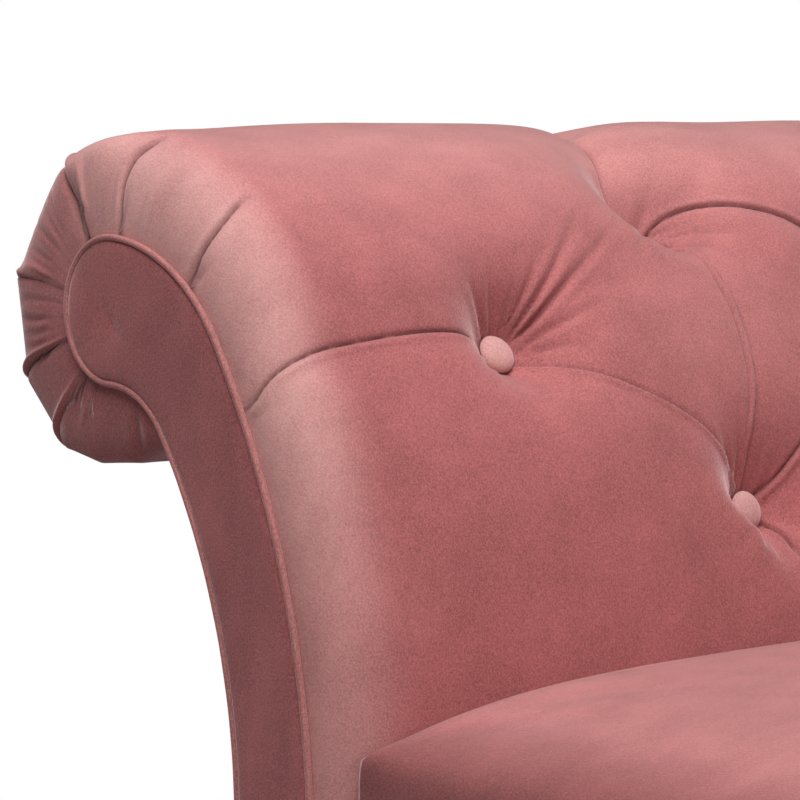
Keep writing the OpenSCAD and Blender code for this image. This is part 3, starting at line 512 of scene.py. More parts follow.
GATHERS = [              # up the pattern, how far in from the welt, depth, width; at both ends of the roll
    (508, 9, 0.30, 3), (516, 8, 0.25, 3), (594, 10, 0.12, 3), (662, 10, 0.5, 3), (676, 8, 0.5, 2.8),
    (690, 11, 0.7, 3), (704, 9, 0.5, 2.8), (752, 6, 0.7, 2.6), (762, 8, 0.9, 2.6), (774, 5, 0.6, 2.4),
    (788, 6, 0.6, 3.0), (950, 8, 1.2, 5),
]
NUBS = [(735, -391), (801, -391), (855, -391)]
CORNERS = [              # turn and radius of the corners at the roll's ends
    (87, 112.5), (96, 111.7), (105, 112), (115, 114.6), (126, 119.5), (172.5, 130), (205.5, 135), (234, 130),
    (251, 120), (273, 111), (304, 112),
]


def mirrored(pleat):
    """The same pleat on the other half, where the line runs the other way round its lip."""
    way, valley, crease, (lip, lip_w, lip_side), fade = pleat
    return [(up, -across) for up, across in way], valley, crease, (lip, lip_w, -lip_side), fade


PLEATS += [mirrored(PLEATS[0])] + EDGE_PLEATS + [mirrored(pleat) for pleat in EDGE_PLEATS]
NUBS += [(up, -across) for up, across in NUBS]
print("pleats:", len(PLEATS), "wrinkles:", len(WRINKLES), "gathers a side:", len(GATHERS))


def spline(points, pitch=2.0):
    """A smooth line through the points, with a point about every `pitch`."""
    p = np.array(points, float)
    p = np.concatenate([[2 * p[0] - p[1]], p, [2 * p[-1] - p[-2]]])
    out = []
    for a, b, c, d in zip(p, p[1:], p[2:], p[3:]):
        t = np.linspace(0, 1, max(2, int(np.hypot(*(c - b)) / pitch)), endpoint=False)[:, None]
        out.append(0.5 * (2 * b + (c - a) * t + (2 * a - 5 * b + 4 * c - d) * t ** 2
                          + (3 * b - a - 3 * c + d) * t ** 3))
    return np.concatenate(out + [p[-2:-1]])


def measure(up, across, points, reach):
    """Which places lie near a line, how far off they are, on which side, and how far along."""
    way = spline(points)
    gap = np.hypot(*np.diff(way, axis=0).T)
    along = np.concatenate([[0.0], np.cumsum(gap)])
    low, high = way.min(0) - reach, way.max(0) + reach
    near = np.flatnonzero((up > low[0]) & (up < high[0]) & (across > low[1]) & (across < high[1]))
    place = np.stack([up[near], across[near]], -1)
    best = np.full(len(near), 1e9)
    side, far, off = np.zeros(len(near)), np.zeros(len(near)), np.zeros((len(near), 2))
    for i in range(len(way) - 1):
        v = way[i + 1] - way[i]
        t = np.clip(((place - way[i]) @ v) / (v @ v), 0, 1)
        away = place - way[i] - t[:, None] * v
        d = np.hypot(away[:, 0], away[:, 1])
        closer = d < best
        best[closer], far[closer], off[closer] = d[closer], (along[i] + t * gap[i])[closer], away[closer]
        side[closer] = np.sign(v[0] * away[:, 1] - v[1] * away[:, 0])[closer]
    return near, best, side, far, along[-1], off


def bell(distance, width):
    """1 at no distance, falling to 0 beyond the width."""
    return np.exp(-(distance / width) ** 2)


def ease(value):
    """0 to 1 with soft ends."""
    value = np.clip(value, 0, 1)
    return value * value * (3 - 2 * value)


def ends(far, whole, fades):
    """1 along a fold, easing to 0 over the fades at its two ends."""
    start, end = fades
    rise = ease(far / start) if start else 1.0
    return rise * (ease((whole - far) / end) if end else 1.0)


# %% [markdown]
# ## The head's buttoned cover
# The cover starts as one fine grid, laid on the pattern. Its threads are
# first drawn closer together at each fold, as they are in gathered cloth, so
# that the crisp edges get enough mesh. Then the big form is set: filling that
# rounds over at the two facings, dimples at the buttons and shallow valleys
# along the pleats. Last, creases, lips and wrinkles move each point along its
# own normal. A grid was chosen over a sculpted solid because every fold stays
# a line that can be read and moved.

# %% The grid on the pattern
ROWS, EDGE, MIDDLE = ((430, 34, 256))
PAD_EDGE, ROLL_EDGE, TAIL_EDGE = 46.0, 24.0, 17.4      # how wide the rounding is on the face, the roll, the tail
FINE_AT, FINE_OVER = 770, 130                           # where the roll's ends are gathered, and how far that goes
LEAST, BUTTON_R = 2.0, 14.0                            # least thickness at the welt, and a covered button's radius
SNAP = 1.05                                             # threads this near a pleat's line are laid on it
PLEAT_DRAW, PLEAT_DRAW_W = 0.62, 13.0                   # how strongly and how far threads are drawn to a pleat,
WRINKLE_DRAW, WRINKLE_DRAW_W = 0.45, 8.0                # and to a wrinkle
DIMPLE_R = 32.0                                         # the dimple's reach


def pattern_grid():
    """Place up and across the pattern per grid point, then the rounding's width and its power per row."""
    even = np.linspace(fine_up[0], fine_up[-1], 4001)
    dense = np.cumsum(1 + 0.6 * bell(even - FINE_AT, FINE_OVER))
    up = np.interp(np.linspace(dense[0], dense[-1], ROWS + 1), dense, even)
    turn = np.interp(up, fine_up, fine_turns)
    width = TAIL_EDGE + (PAD_EDGE - TAIL_EDGE) * ease((turn - BOTTOM) / 12.0)
    width += (ROLL_EDGE - PAD_EDGE) * ease((turn - 80) / 30)
    power = 2.0 + 1.0 * ease((turn - 84) / 25)
    k = (np.arange(EDGE + 1) / EDGE)[None, :]
    power = power[:, None]
    angle = np.pi / 2 * k ** (power / 2)
    inward = (1 - np.cos(angle) ** (2 / power)) * width[:, None]
    edge_y = -PAD_Y * 1000 + inward
    middle = edge_y[:, -1:] * (1 - 2 * np.arange(1, MIDDLE)[None, :] / MIDDLE)
    across = np.concatenate([edge_y, middle, -edge_y[:, ::-1]], 1)
    return np.broadcast_to(up[:, None], across.shape).copy(), across, width, power[:, 0]


def midway(start, end):
    """A wrinkle's line, with a point in its middle."""
    return [start, (np.array(start) + end) / 2, end]


def drawn_together(up, across):
    """The threads gathered towards each pleat, and the nearest laid on its line, so that the crease is crisp."""
    flat_up, flat_across = up.ravel().copy(), across.ravel().copy()
    for way, valley, crease, lip, fade in PLEATS:
        near, off, side, far, whole, away = measure(flat_up, flat_across, way, 40)
        pull = PLEAT_DRAW * bell(off, PLEAT_DRAW_W) * ends(far, whole, (fade[0] + 6, fade[1] + 6))
        pull = np.where((off < SNAP) & (pull > 0.3), 1.0, pull)
        flat_up[near] -= away[:, 0] * pull
        flat_across[near] -= away[:, 1] * pull * (PAD_Y * 1000 - np.abs(flat_across[near]) > 0.01)
    for start, end, depth, width in WRINKLES:
        near, off, side, far, whole, away = measure(flat_up, flat_across, midway(start, end), 24)
        pull = WRINKLE_DRAW * min(1.0, depth / 3) * bell(off, WRINKLE_DRAW_W) * ends(far, whole, (6, 40))
        flat_up[near] -= away[:, 0] * pull
        flat_across[near] -= away[:, 1] * pull
    return flat_up.reshape(up.shape), flat_across.reshape(across.shape)


up, across, edge_width, edge_power = pattern_grid()
up, across = drawn_together(up, across)
up = np.clip(up, fine_up[0], fine_up[-1])
print("grid:", up.shape, "points", up.size)

# %% The big form: rounded edges, dimples, and a roll with cornered ends
corner_turns, corner_radii = np.array(CORNERS).T


def rim_radius(turn):
    """The roll's radius at its very ends, where the cloth runs flat from corner to corner."""
    radius = np.full_like(turn, ROLL_R * 1000)
    for a, b, near_r, far_r in zip(corner_turns, corner_turns[1:], corner_radii, corner_radii[1:]):
        part = (turn >= a) & (turn <= b)
        first, last = np.radians(turn[part] - a), np.radians(b - turn[part])
        radius[part] = near_r * far_r * np.sin(first + last) / (near_r * np.sin(first) + far_r * np.sin(last))
    before = turn < corner_turns[0]
    radius[before] += (corner_radii[0] - ROLL_R * 1000) * ease((turn[before] - 50) / 37)
    return radius


def hollows(up, across):
    """The share pulled in: most under a button, falling to 0 around it, sooner towards the fuller puff below."""
    hollow = np.zeros_like(up)
    for b_up, b_across, _, lean_by, depth in BUTTONS.values():
        off_up, off_across = up - b_up, across - b_across
        away = np.hypot(off_up, off_across)
        lean = -(0.65 * off_up + 0.76 * off_across * (1 if b_across < 1 else -1)) / np.maximum(away, 1e-6)
        reach = DIMPLE_R - lean_by * np.maximum(lean, -0.4)
        hollow = np.maximum(hollow, depth * np.exp(-(np.maximum(away - BUTTON_R * 0.86, 0) / reach) ** 1.25))
    return hollow


def big_form(up, across, valleys=1.0):
    """The cover before its creases: places in space, the feet of the filling, and the share of full height."""
    turn = np.interp(up, fine_up, fine_turns)
    feet, swells = (a.reshape(*up.shape, 2) for a in section(turn.ravel()))
    least = np.minimum(LEAST / 1000 / np.maximum(np.linalg.norm(swells, axis=-1), 1e-9), 1)
    inward = np.clip((PAD_Y * 1000 - np.abs(across)) / edge_width[:, None], 0, 1)
    share = (1 - (1 - inward) ** edge_power[:, None]) ** (1 / edge_power[:, None])
    height = least + (1 - least) * share * (1 - hollows(up, across)) * valleys
    flare = np.exp(-(np.maximum(PAD_Y * 1000 - np.abs(across) - 22, 0) / 75) ** 1.6) * share
    flat = feet + swells * height[..., None] + toward(turn) * ((rim_radius(turn) / 1000 - ROLL_R) * flare)[..., None]
    return np.stack([flat[..., 0], across / 1000, flat[..., 1]], -1), feet, share


valleys = np.ones(up.size)
for way, (depth, reach), crease, lip, fade in PLEATS:
    near, off, side, far, whole, _ = measure(up.ravel(), across.ravel(), way, 3 * reach)
    valleys[near] *= 1 - depth * np.exp(-(off / reach) ** 1.2) * ends(far, whole, (0, fade[1]))
form, feet, share = big_form(up, across, valleys.reshape(up.shape))


# %% Creases, lips and wrinkles along the normals
def smooth_normals(up, across, reach=1.5):
    """Outward normals of the big form, measured a little to each side of every point."""
    edge = PAD_Y * 1000
    along = big_form(up + reach, across)[0] - big_form(up - reach, across)[0]
    over = big_form(up, np.clip(across + reach, -edge, edge))[0] - big_form(up, np.clip(across - reach, -edge, edge))[0]
    n = np.cross(over, along)
    return n / np.maximum(np.linalg.norm(n, axis=-1, keepdims=True), 1e-12)


DARK_CREASE, DARK_W = 2.6, 1.2                # a crease this deep gets the full painted shade, over this width
NUB_H, NUB_W, NUB_LONG = 1.1, 5.0, 1.8
# The colour is darkened by painted shade along the creases, wrinkles and gathers.
relief, folded = np.zeros(up.size), np.zeros(up.size)
flat_up, flat_across = up.ravel(), across.ravel()
for way, valley, (crease, crease_w), (lip, lip_w, lip_side), fade in PLEATS:
    near, off, side, far, whole, _ = measure(flat_up, flat_across, way, 34)
    run = ends(far, whole, fade)
    signed = off * side * lip_side
    relief[near] -= crease * run * np.exp(-np.abs(signed) / crease_w)
    relief[near] += lip * run * bell(signed - lip_w, lip_w * 0.75) * (signed > 0)
    folded[near] = np.maximum(folded[near], min(1.0, crease / DARK_CREASE) * run * np.exp(-np.abs(signed) / DARK_W))
for start, end, depth, width in WRINKLES:
    near, off, side, far, whole, _ = measure(flat_up, flat_across, midway(start, end), 4 * width)
    t = far / whole
    run = ease(t / 0.12) * (1 - t) ** 0.9
    wide = width * (0.6 + 1.0 * t)
    relief[near] -= depth * run * (bell(off, wide) - 0.55 * bell(off - 2.0 * wide, wide))
    folded[near] = np.maximum(folded[near], 0.30 * run * bell(off, wide * 0.7))
from_welt = PAD_Y * 1000 - np.abs(flat_across)
for at, reach, depth, width in GATHERS:
    near = np.flatnonzero((np.abs(flat_up - at) < 5 * width) & (from_welt < reach * 1.3))
    bow = at + 4.0 * np.sin(from_welt[near] / reach * 2.2 + at)
    run = ease(1.25 - from_welt[near] / reach) * ease(from_welt[near] / 1.5 + 0.6)
    off = flat_up[near] - bow
    relief[near] -= depth * run * (bell(off, width) - 0.6 * bell(np.abs(off) - 2.0 * width, width))
    folded[near] = np.maximum(folded[near], 0.45 * min(1.0, depth) * run * bell(off, width * 0.6))
for at, y in NUBS:
    relief += NUB_H * bell(np.hypot(flat_up - at, (flat_across - y) / NUB_LONG), NUB_W)
soft = (np.sin(flat_up * 0.031 + 1.3 * np.sin(flat_across * 0.019))      # the filling's slow unevenness
        + np.sin(flat_across * 0.027 + 1.1 * np.sin(flat_up * 0.023)))
relief += 0.55 * soft * share.ravel() * (1 - hollows(flat_up, flat_across))
relief *= ease(from_welt / 0.8)                                          # nothing moves at the welt itself
moved = form + smooth_normals(up, across) * (relief.reshape(up.shape)[..., None] / 1000)
# A painted highlight pales the colour along the rounding by the welts, over the crest and between the buttons.
stretched = bell(np.maximum(from_welt.reshape(up.shape) - 12, 0), 27.0) * ease((700 - up) / 130)
stretched *= 0.53 + 0.35 * ease((up - 130) / 170)
upper_sheen = np.maximum(0.42 * bell(up - 560, 130), 0.17 * bell(up - 330, 85) * bell(across, 130))
stretched = np.maximum(stretched, upper_sheen)                            # painted highlight over the crest, and between the buttons
print("relief from", round(float(relief.min()), 1), "to", round(float(relief.max()), 1), "mm")


# %% [markdown]
# ## From a grid to a closed piece
# Blender makes the grid; its points then go to their places. The open rim is
# pulled back to the foot of the filling and bridged, so the cover is a closed
# stuffed form that a slicer or a simulator can weigh. The numbers that the
# velvet reads, its painted shade in folds and its painted highlight over edges,
# are stored on the points.

# %% Grid to mesh
def finished(name, mesh, material):
    """An object at the origin that rides on the body, smooth shaded, with one finish."""
    mesh.polygons.foreach_set("use_smooth", [True] * len(mesh.polygons))
    mesh.materials.clear()
    mesh.materials.append(material)
    piece = bpy.data.objects.new(name, mesh)
    bpy.context.scene.collection.objects.link(piece)
    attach(piece, BODY)
    low = np.array([v[:] for v in piece.bound_box]).min(0)
    high = np.array([v[:] for v in piece.bound_box]).max(0)
    print(name, "-", len(mesh.polygons), "faces,", (low * 1000).round().astype(int), "to",
          (high * 1000).round().astype(int), "mm")
    return piece


def kept(bm, mesh, outwards=True):
    """The bmesh written to a mesh, or to a new one of that name, and let go."""
    if outwards:
        bmesh.ops.recalc_face_normals(bm, faces=bm.faces)
    mesh = bpy.data.meshes.new(mesh) if isinstance(mesh, str) else mesh
    bm.to_mesh(mesh)
    bm.free()
    return mesh


def opened(mesh):
    """A bmesh of the mesh, to work on."""
    bm = bmesh.new()
    bm.from_mesh(mesh)
    return bm


def rim_of(bm):
    """The open edges."""
    return [e for e in bm.edges if e.is_boundary]


def coordinates(mesh):
    """The places of a mesh's points, one row each."""
    co = np.empty(len(mesh.vertices) * 3)
    mesh.vertices.foreach_get("co", co)
    return co.reshape(-1, 3)


def carry(mesh, **readings):
    """Numbers stored on the mesh's points."""
    for reading, values in readings.items():
        layer = mesh.attributes.new(reading, "FLOAT", "POINT")
        layer.data.foreach_set("value", values.astype(np.float32))


def grid_mesh(name, points, **readings):
    """A grid that Blender makes, its points moved to a table of places, one per row and column."""
    rows, cols = points.shape[:2]
    bm = bmesh.new()
    bmesh.ops.create_grid(bm, x_segments=cols - 1, y_segments=rows - 1, size=0.5)
    mesh = kept(bm, name, outwards=False)
    co = coordinates(mesh)
    i = np.rint((co[:, 1] + 0.5) * (rows - 1)).astype(int)
    j = np.rint((co[:, 0] + 0.5) * (cols - 1)).astype(int)
    mesh.vertices.foreach_set("co", points[i, j].ravel())
    side = np.where(j == 0, -1.0, np.where(j == cols - 1, 1.0, 0.0))
    carry(mesh, **{reading: values[i, j] for reading, values in readings.items()}, side=side)
    return mesh


def stuffed_grid(name, points, feet_xz, **readings):
    """A closed stuffed piece: the grid's rim is drawn back to the foot of the filling and bridged."""
    mesh = grid_mesh(name, points, foot_x=feet_xz[..., 0], foot_z=feet_xz[..., 1], **readings)
    bm = opened(mesh)
    foot_x, foot_z, side = (bm.verts.layers.float[key] for key in ("foot_x", "foot_z", "side"))
    made = bmesh.ops.extrude_edge_only(bm, edges=rim_of(bm))["geom"]
    inner = {v for v in made if isinstance(v, bmesh.types.BMVert)}
    for v in inner:
        v.co.x, v.co.z = v[foot_x], v[foot_z]
    chains = [e for e in made if isinstance(e, bmesh.types.BMEdge) and inner.issuperset(e.verts)
              and e.verts[0][side] == e.verts[1][side] != 0]
    bmesh.ops.bridge_loops(bm, edges=chains)
    bmesh.ops.holes_fill(bm, edges=rim_of(bm), sides=0)
    bmesh.ops.recalc_face_normals(bm, faces=bm.faces)
    for key in ("foot_x", "foot_z", "side"):
        bm.verts.layers.float.remove(bm.verts.layers.float[key])
    print(name, "open or doubled edges:", sum(not e.is_manifold for e in bm.edges),
          "volume", round(bm.calc_volume() * 1000, 2), "litres")
    return kept(bm, mesh, outwards=False)


head_mesh = stuffed_grid("head_cover", moved, feet, folded=folded.reshape(up.shape), stretched=stretched)
head_cover = finished("head_cover_buttoned", head_mesh, rose_velvet)
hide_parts("head_cover")

# Below the seat the cover's two edges run on beside the rails, down to the hem
TAIL_TOP, TAIL_SWELL, RIPPLE = 0.3033, 0.040, 0.0006
tail_rows, tail_cols = np.linspace(HEM_Z, TAIL_TOP, 40), np.linspace(0, np.pi / 2, 13)
for side_name, sign in SIDES:
    tail_out = LEAST / 1000 + (TAIL_SWELL - LEAST / 1000) * np.sin(tail_cols)
    tail_in = sign * (PAD_Y - TAIL_EDGE / 1000 * (1 - np.cos(tail_cols)))
    ripple = RIPPLE * np.sin(tail_rows * 95)[:, None] * np.sin(tail_cols)[None, :]
    tail = np.stack(np.broadcast_arrays(FACE_X + tail_out[None, :] - np.abs(ripple), tail_in[None, :] + 0 * ripple,
                                        tail_rows[:, None]), -1)
    tail_feet = np.stack(np.broadcast_arrays(FACE_X + CLEAR + 0 * ripple, tail_rows[:, None]), -1)
    # The tail's rounded edge gets a painted highlight, and no painted shade.
    tail_mesh = stuffed_grid(side_name + "_cover_tail", tail, tail_feet, folded=0 * ripple,
                             stretched=0.6 * bell(tail_cols[None, :] - 0.6, 0.5) + 0 * ripple)
    finished(side_name + "_cover_tail", tail_mesh, rose_velvet)

# %% [markdown]
# ## Covered buttons
# A covered button is a domed shell with the same velvet in a paler colour. It
# sits at the bottom of its dimple, with its rim just touching the cloth. A
# profile is spun about the button's axis and then tipped to the slope it lies on.

# %% Buttons
def spun(name, profile, steps, place):
    """A profile of (radius, height) pairs turned about Z into a closed piece, then placed."""
    bm = bmesh.new()
    verts = [bm.verts.new((r, 0, z)) for r, z in profile]
    edges = [bm.edges.new(pair) for pair in zip(verts, verts[1:])]
    bmesh.ops.spin(bm, geom=verts + edges, cent=(0, 0, 0), axis=(0, 0, 1), angle=math.tau,
                   steps=steps, use_merge=True)
    bmesh.ops.remove_doubles(bm, verts=bm.verts, dist=1e-6)
    bmesh.ops.transform(bm, matrix=place, verts=bm.verts)
    return kept(bm, name)


def arc_steps(start, end, count):
    """Angles from start to end, given in degrees."""
    return np.radians(np.linspace(start, end, count + 1))


RIM_H, RIM_R, BUTTON_H = 0.003, 0.0011, 0.008
SUNK, STAND = 0.84, 0.0021                    # the share of the dimple's floor it goes down to, and its stand above
button_r, rim_z = BUTTON_R * 0.001, RIM_H + 0.0004
button_profile = [(0.0, 0.0), (button_r * 0.25, 0.0), (button_r * 0.88, RIM_H * 0.62)]
button_profile += [(button_r - RIM_R + RIM_R * math.sin(a), rim_z - RIM_R * math.cos(a)) for a in arc_steps(35, 100, 4)]
button_profile += [(button_r * 0.97 * math.cos(a), rim_z + (BUTTON_H - RIM_H) * math.sin(a))
                   for a in arc_steps(8, 90, 12)]
button_profile[-1] = (0.0, BUTTON_H)

for name, (b_up, b_across, b_turn, _, depth) in BUTTONS.items():
    foot, out = (a[0] for a in section([b_turn]))
    full_t = np.linalg.norm(out)
    lift = LEAST / 1000 + (full_t - LEAST / 1000) * (1 - depth) * SUNK + STAND
    at = foot + out / full_t * lift
    tip = Matrix.Rotation(math.radians(90 - b_turn), 4, "Y")
    button = spun(name + "_button", button_profile, 56, Matrix.Translation((at[0], b_across / 1000, at[1])) @ tip)
    finished(name + "_button", button, button_velvet)
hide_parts("tufting_buttons")

# %% [markdown]
# ## Welts
# A cord covered with a bias strip of the velvet is sewn round each facing.
# The strip's seam allowance vanishes between cover and facing; what shows is
# a soft bead, a little lumpy where the strip eases round the scroll. It is
# swept as a ring of points carried along the outline, like a bent tube.

# %% Welts
def swept_tube(name, way, outwards, centre_y, radii, sides=14):
    """A closed tube along a line in the XZ plane, one ring of points for each of its places."""
    angle = np.linspace(0, math.tau, sides + 1)
    points = np.stack(np.broadcast_arrays(
        way[:, None, 0] + outwards[:, None, 0] * radii[:, None] * np.cos(angle),
        centre_y + radii[:, None] * np.sin(angle),
        way[:, None, 1] + outwards[:, None, 1] * radii[:, None] * np.cos(angle)), -1)
    mesh = grid_mesh(name, points)
    bm = opened(mesh)
    bmesh.ops.remove_doubles(bm, verts=bm.verts, dist=1e-6)
    bmesh.ops.holes_fill(bm, edges=rim_of(bm), sides=0)
    return kept(bm, mesh)


WELT_R, WELT_LINE = 0.0024, 0.0012            # the bead's radius, and how far outside the boards its middle runs
welt_way = outline(WELT_LINE, HEM_Z, 0.003)
run = np.gradient(welt_way, axis=0)
run /= np.linalg.norm(run, axis=1, keepdims=True)
welt_out = np.stack([-run[:, 1], run[:, 0]], -1)
along = np.arange(len(welt_way))
scroll_part = bell(along - len(along) * 0.55, len(along) * 0.12)
lumps = 0.03 * np.sin(along * 0.41) * np.sin(along * 0.073) - 0.05 * scroll_part * np.abs(np.sin(along * 0.8))
for side_name, sign in SIDES:
    tube = swept_tube(side_name + "_velvet_welt", welt_way, welt_out, sign * (HALF_DEPTH - WELT_R),
                      WELT_R * (0.97 + lumps))
    welt = finished(side_name + "_velvet_welt", tube, rose_welt)
    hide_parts(side_name + "_welt")

# %% [markdown]
# ## Facings
# A facing is a scroll-shaped board under wadding and velvet, with the cloth
# turned round the board's edge. Its face swells a little, and a small pull
# shows near the scroll's centre, where it is pinned through. One grid carries
# the outline from the board's side round the edge and inwards, ring by ring;
# the face inside the last ring is filled with even triangles that take in a
# net of inner points; at the back the rim turns in round the board.

# %% Facings
# How far in from the outline and how far behind the front each ring lies, from the pocket round the edge to the face
FACING_RINGS = [(0.0018, 0.0067), (0.0018, 0.0110), (0.0, 0.0110), (0.0, 0.0058), (0.0004, 0.0031), (0.0013, 0.0017),
                (0.0028, 0.0009), (0.0052, 0.0004), (0.0087, 0.0002), (0.0132, 0.0001), (0.0185, 0.0)]
NET = 0.0032                                  # spacing of the points inside the face
PULL = scroll + (0.004, -0.010)               # where the face is pinned through
CREASE_H, CREASE_LONG, CREASE_W = 0.0013, 0.009, 0.0022      # the pull's crease, which runs aslant and bends
DINT_H, DINT_W, UNEVEN = 0.0009, 0.014, 0.0003               # the dint around the pin, and the face's waves


def ring_of(inset, depth):
    """The facing's outline moved inwards, with its hem edge, as a closed ring at a depth behind the front."""
    side = outline(-inset, HEM_Z + inset, 0.005)
    hem = np.linspace(side[-1], side[0], 15)[1:-1]
    ring = np.concatenate([side, hem, side[:1]])
    return np.stack([ring[:, 0], np.full(len(ring), depth - HALF_DEPTH), ring[:, 1]], -1)


def facing_mesh(name, sign):
    """The front facing's mesh, mirrored where `sign` is 1."""
    rings = np.array([ring_of(inset, depth) for inset, depth in FACING_RINGS])
    mesh = grid_mesh(name, rings)
    bm = opened(mesh)
    rim = [Vector(place) for place in rings[-1][:-1, ::2]]
    low, high = rings[-1].min(0), rings[-1].max(0)
    net = [Vector((x, z)) for x in np.arange(low[0], high[0], NET) for z in np.arange(low[2], high[2], NET)]
    places, _, faces, *_ = geometry.delaunay_2d_cdt(rim + net, [], [list(range(len(rim)))], 1, 1e-6)
    verts = [bm.verts.new((x, -HALF_DEPTH, z)) for x, z in places]
    for face in faces:
        bm.faces.new([verts[i] for i in face])
    bmesh.ops.remove_doubles(bm, verts=bm.verts, dist=1e-6)
    bmesh.ops.delete(bm, geom=[v for v in bm.verts if not v.link_faces], context="VERTS")
    for v in bm.verts:
        if v.co.y < -(HALF_DEPTH - 0.0015):                      # the pulls by the pin and a slow unevenness
            away = Vector((v.co.x - PULL[0], v.co.z - PULL[1]))
            slant, cross = away.x * 0.5 - away.y * 0.87, away.x * 0.87 + away.y * 0.5
            bent = cross - 40 * max(slant, 0) ** 2
            v.co.y += CREASE_H * math.exp(-(slant / CREASE_LONG) ** 2 - (bent / CREASE_W) ** 2)
            v.co.y += DINT_H * math.exp(-(away.length / DINT_W) ** 2)
            v.co.y += UNEVEN * (1 + math.sin(v.co.x * 90 + 2 * math.sin(v.co.z * 31)) * math.sin(v.co.z * 47))
    bmesh.ops.holes_fill(bm, edges=rim_of(bm), sides=0)
    bmesh.ops.scale(bm, vec=(1, -sign, 1), verts=bm.verts)
    print(name, "faces in the middle", len(faces), "- open edges", sum(not e.is_manifold for e in bm.edges))
    return kept(bm, mesh)


for side_name, sign in SIDES:
    facing = finished(side_name + "_facing", facing_mesh(side_name + "_facing", sign), rose_plain)
    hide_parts(side_name + "_facing_cover")

# %% [markdown]
# ## The outside of the head
# Behind the head one plain sheet of velvet is stretched from under the roll
# down to the hem. It is tacked at the top, so short pulls show there, and
# turned under at the hem, which leaves a shallow line. The sheet is a grid
# laid along the neck's line and given its thickness afterwards.

# %% Outside cover
def cloth_sheet(name, points, thickness):
    """A grid laid through `points` and thickened inwards into closed cloth."""
    mesh = grid_mesh(name, points)
    bm = opened(mesh)
    bmesh.ops.solidify(bm, geom=bm.faces[:], thickness=thickness)
    return kept(bm, mesh)


SHEET_IN, SHEET_HALF, SHEET_T = 0.0004, 0.3986, 0.0012
HEM_TURN, PULL_FADE = 0.014, 0.11             # the hem's fold from its end, and how far down the pulls reach
PULL_DEEP, HEM_DEEP, WAVE_DEEP = 0.0011, 0.0007, 0.0005
neck_way = outline(-SHEET_IN, HEM_Z, 0.006, start=4)              # the outline's last three parts
neck_way = np.concatenate([[curl + (CURL_R + SHEET_IN) * toward(90.0)], neck_way])
neck_len = np.concatenate([[0], np.cumsum(np.hypot(*np.diff(neck_way, axis=0).T))])
sheet_y = np.linspace(-SHEET_HALF, SHEET_HALF, 121)
pulls = 0.5 + 0.5 * np.sin(sheet_y[None, :] * 71 + 2 * np.sin(sheet_y[None, :] * 13))
pulls = pulls * np.exp(-neck_len[:, None] / PULL_FADE)            # they fade a hand's width below the tacks
hem_line = bell(neck_len[-1] - neck_len[:, None] - HEM_TURN, 0.004)
waves = 1 + np.sin(sheet_y * 9)[None, :] * np.sin(neck_len * 11)[:, None]
dent = PULL_DEEP * pulls + HEM_DEEP * hem_line + WAVE_DEEP * waves
into = np.gradient(neck_way, axis=0)
into = np.stack([-into[:, 1], into[:, 0]], -1) / np.linalg.norm(into, axis=1, keepdims=True)
if (into[-1] @ (1.0, 0.0)) < 0:
    into = -into
outside = np.stack([neck_way[:, None, 0] + into[:, None, 0] * dent, sheet_y[None, :] + 0 * dent,
                    neck_way[:, None, 1] + into[:, None, 1] * dent], -1)
outside_cover = finished("outside_cover_sheet", cloth_sheet("outside_cover_sheet", outside, SHEET_T), rose_plain)
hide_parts("outside_cover")
print("outside sheet's length:", round(float(neck_len[-1]), 3))

# %% [markdown]
# ## The seat
# The seat is a tight crowned pad: a thick cover drawn over foam and down the
# rails to the hem, rounded at the long edges and at the two foot corners. A
# bevelled block gives the plain form, a voxel remesh gives it even cloth, and
# the crown lifts the top. Then Cloth with a little pressure lets the cover
# relax and swell as a filled cover does. It is thickened inwards afterwards,
# so the frame still has its room. Towards the long edges and the foot the
# colour is darkened by painted shade, and the crown is paled by a painted
# highlight.

# %% Seat block
SEAT_X0, SEAT_X1, SEAT_Y, SEAT_EDGE_Z, CROWN = FACE_X + 0.037, 0.847, 0.398, 0.455, 0.0335
FOOT_CORNER_R, HEAD_CORNER_R, TOP_EDGE_R = 0.055, 0.014, 0.005
DRAW, DRAW_REACH = 0.9, 0.022                 # how far the head's corners are drawn sharp, and from how far off
SEAM_TOP, SEAM_NEAR = 0.440, 0.06             # the foot corners' seams: they end below the rim,
LIP_H, LIP_W, DENT_H, DENT_W = 0.0022, 0.004, 0.0026, 0.003      # and are a lip beside a dent


def rounded_block(x0, x1, half, low, high, corner, edge, head_edge):
    """A block with rounded foot corners and rounded top edges."""
    bm = bmesh.new()
    bmesh.ops.create_cube(bm, size=1.0)
    bmesh.ops.scale(bm, vec=(x1 - x0, 2 * half, high - low), verts=bm.verts)
    bmesh.ops.translate(bm, vec=((x0 + x1) / 2, 0, (low + high) / 2), verts=bm.verts)

    def bevel(radius, segments, chosen):
        edges = [e for e in bm.edges if chosen(*(v.co for v in e.verts))]
        bmesh.ops.bevel(bm, geom=edges, offset=radius, segments=segments, affect="EDGES", profile=0.5, material=-1)

    bevel(corner, 8, lambda a, b: a.x > x1 - 1e-5 and b.x > x1 - 1e-5 and abs(a.z - b.z) > 0.01)
    bevel(head_edge, 4, lambda a, b: a.x < x0 + 1e-5 and b.x < x0 + 1e-5 and abs(a.z - b.z) > 0.01)
    bevel(edge, 6, lambda a, b: a.z > high - 1e-5 and b.z > high - 1e-5 and not (a.x < x0 + 1e-5 and b.x < x0 + 1e-5))
    return bm


def off_middle(co, inset=0.0):
    """0 along the seat's middle line, 1 at its long edges and its foot."""
    reach = SEAT_Y - inset
    beyond = np.maximum(co[:, 0] - (SEAT_X1 - SEAT_Y), 0)
    return ((np.abs(co[:, 1]) / reach) ** 4 + (beyond / reach) ** 4) ** 0.25


def crown_lift(co, inset=0.0):
    """How far the top is lifted above the seat's edge, as a share."""
    t = np.clip(1 - off_middle(co, inset), 0, 1)
    return 1 - (1 - t) ** 4


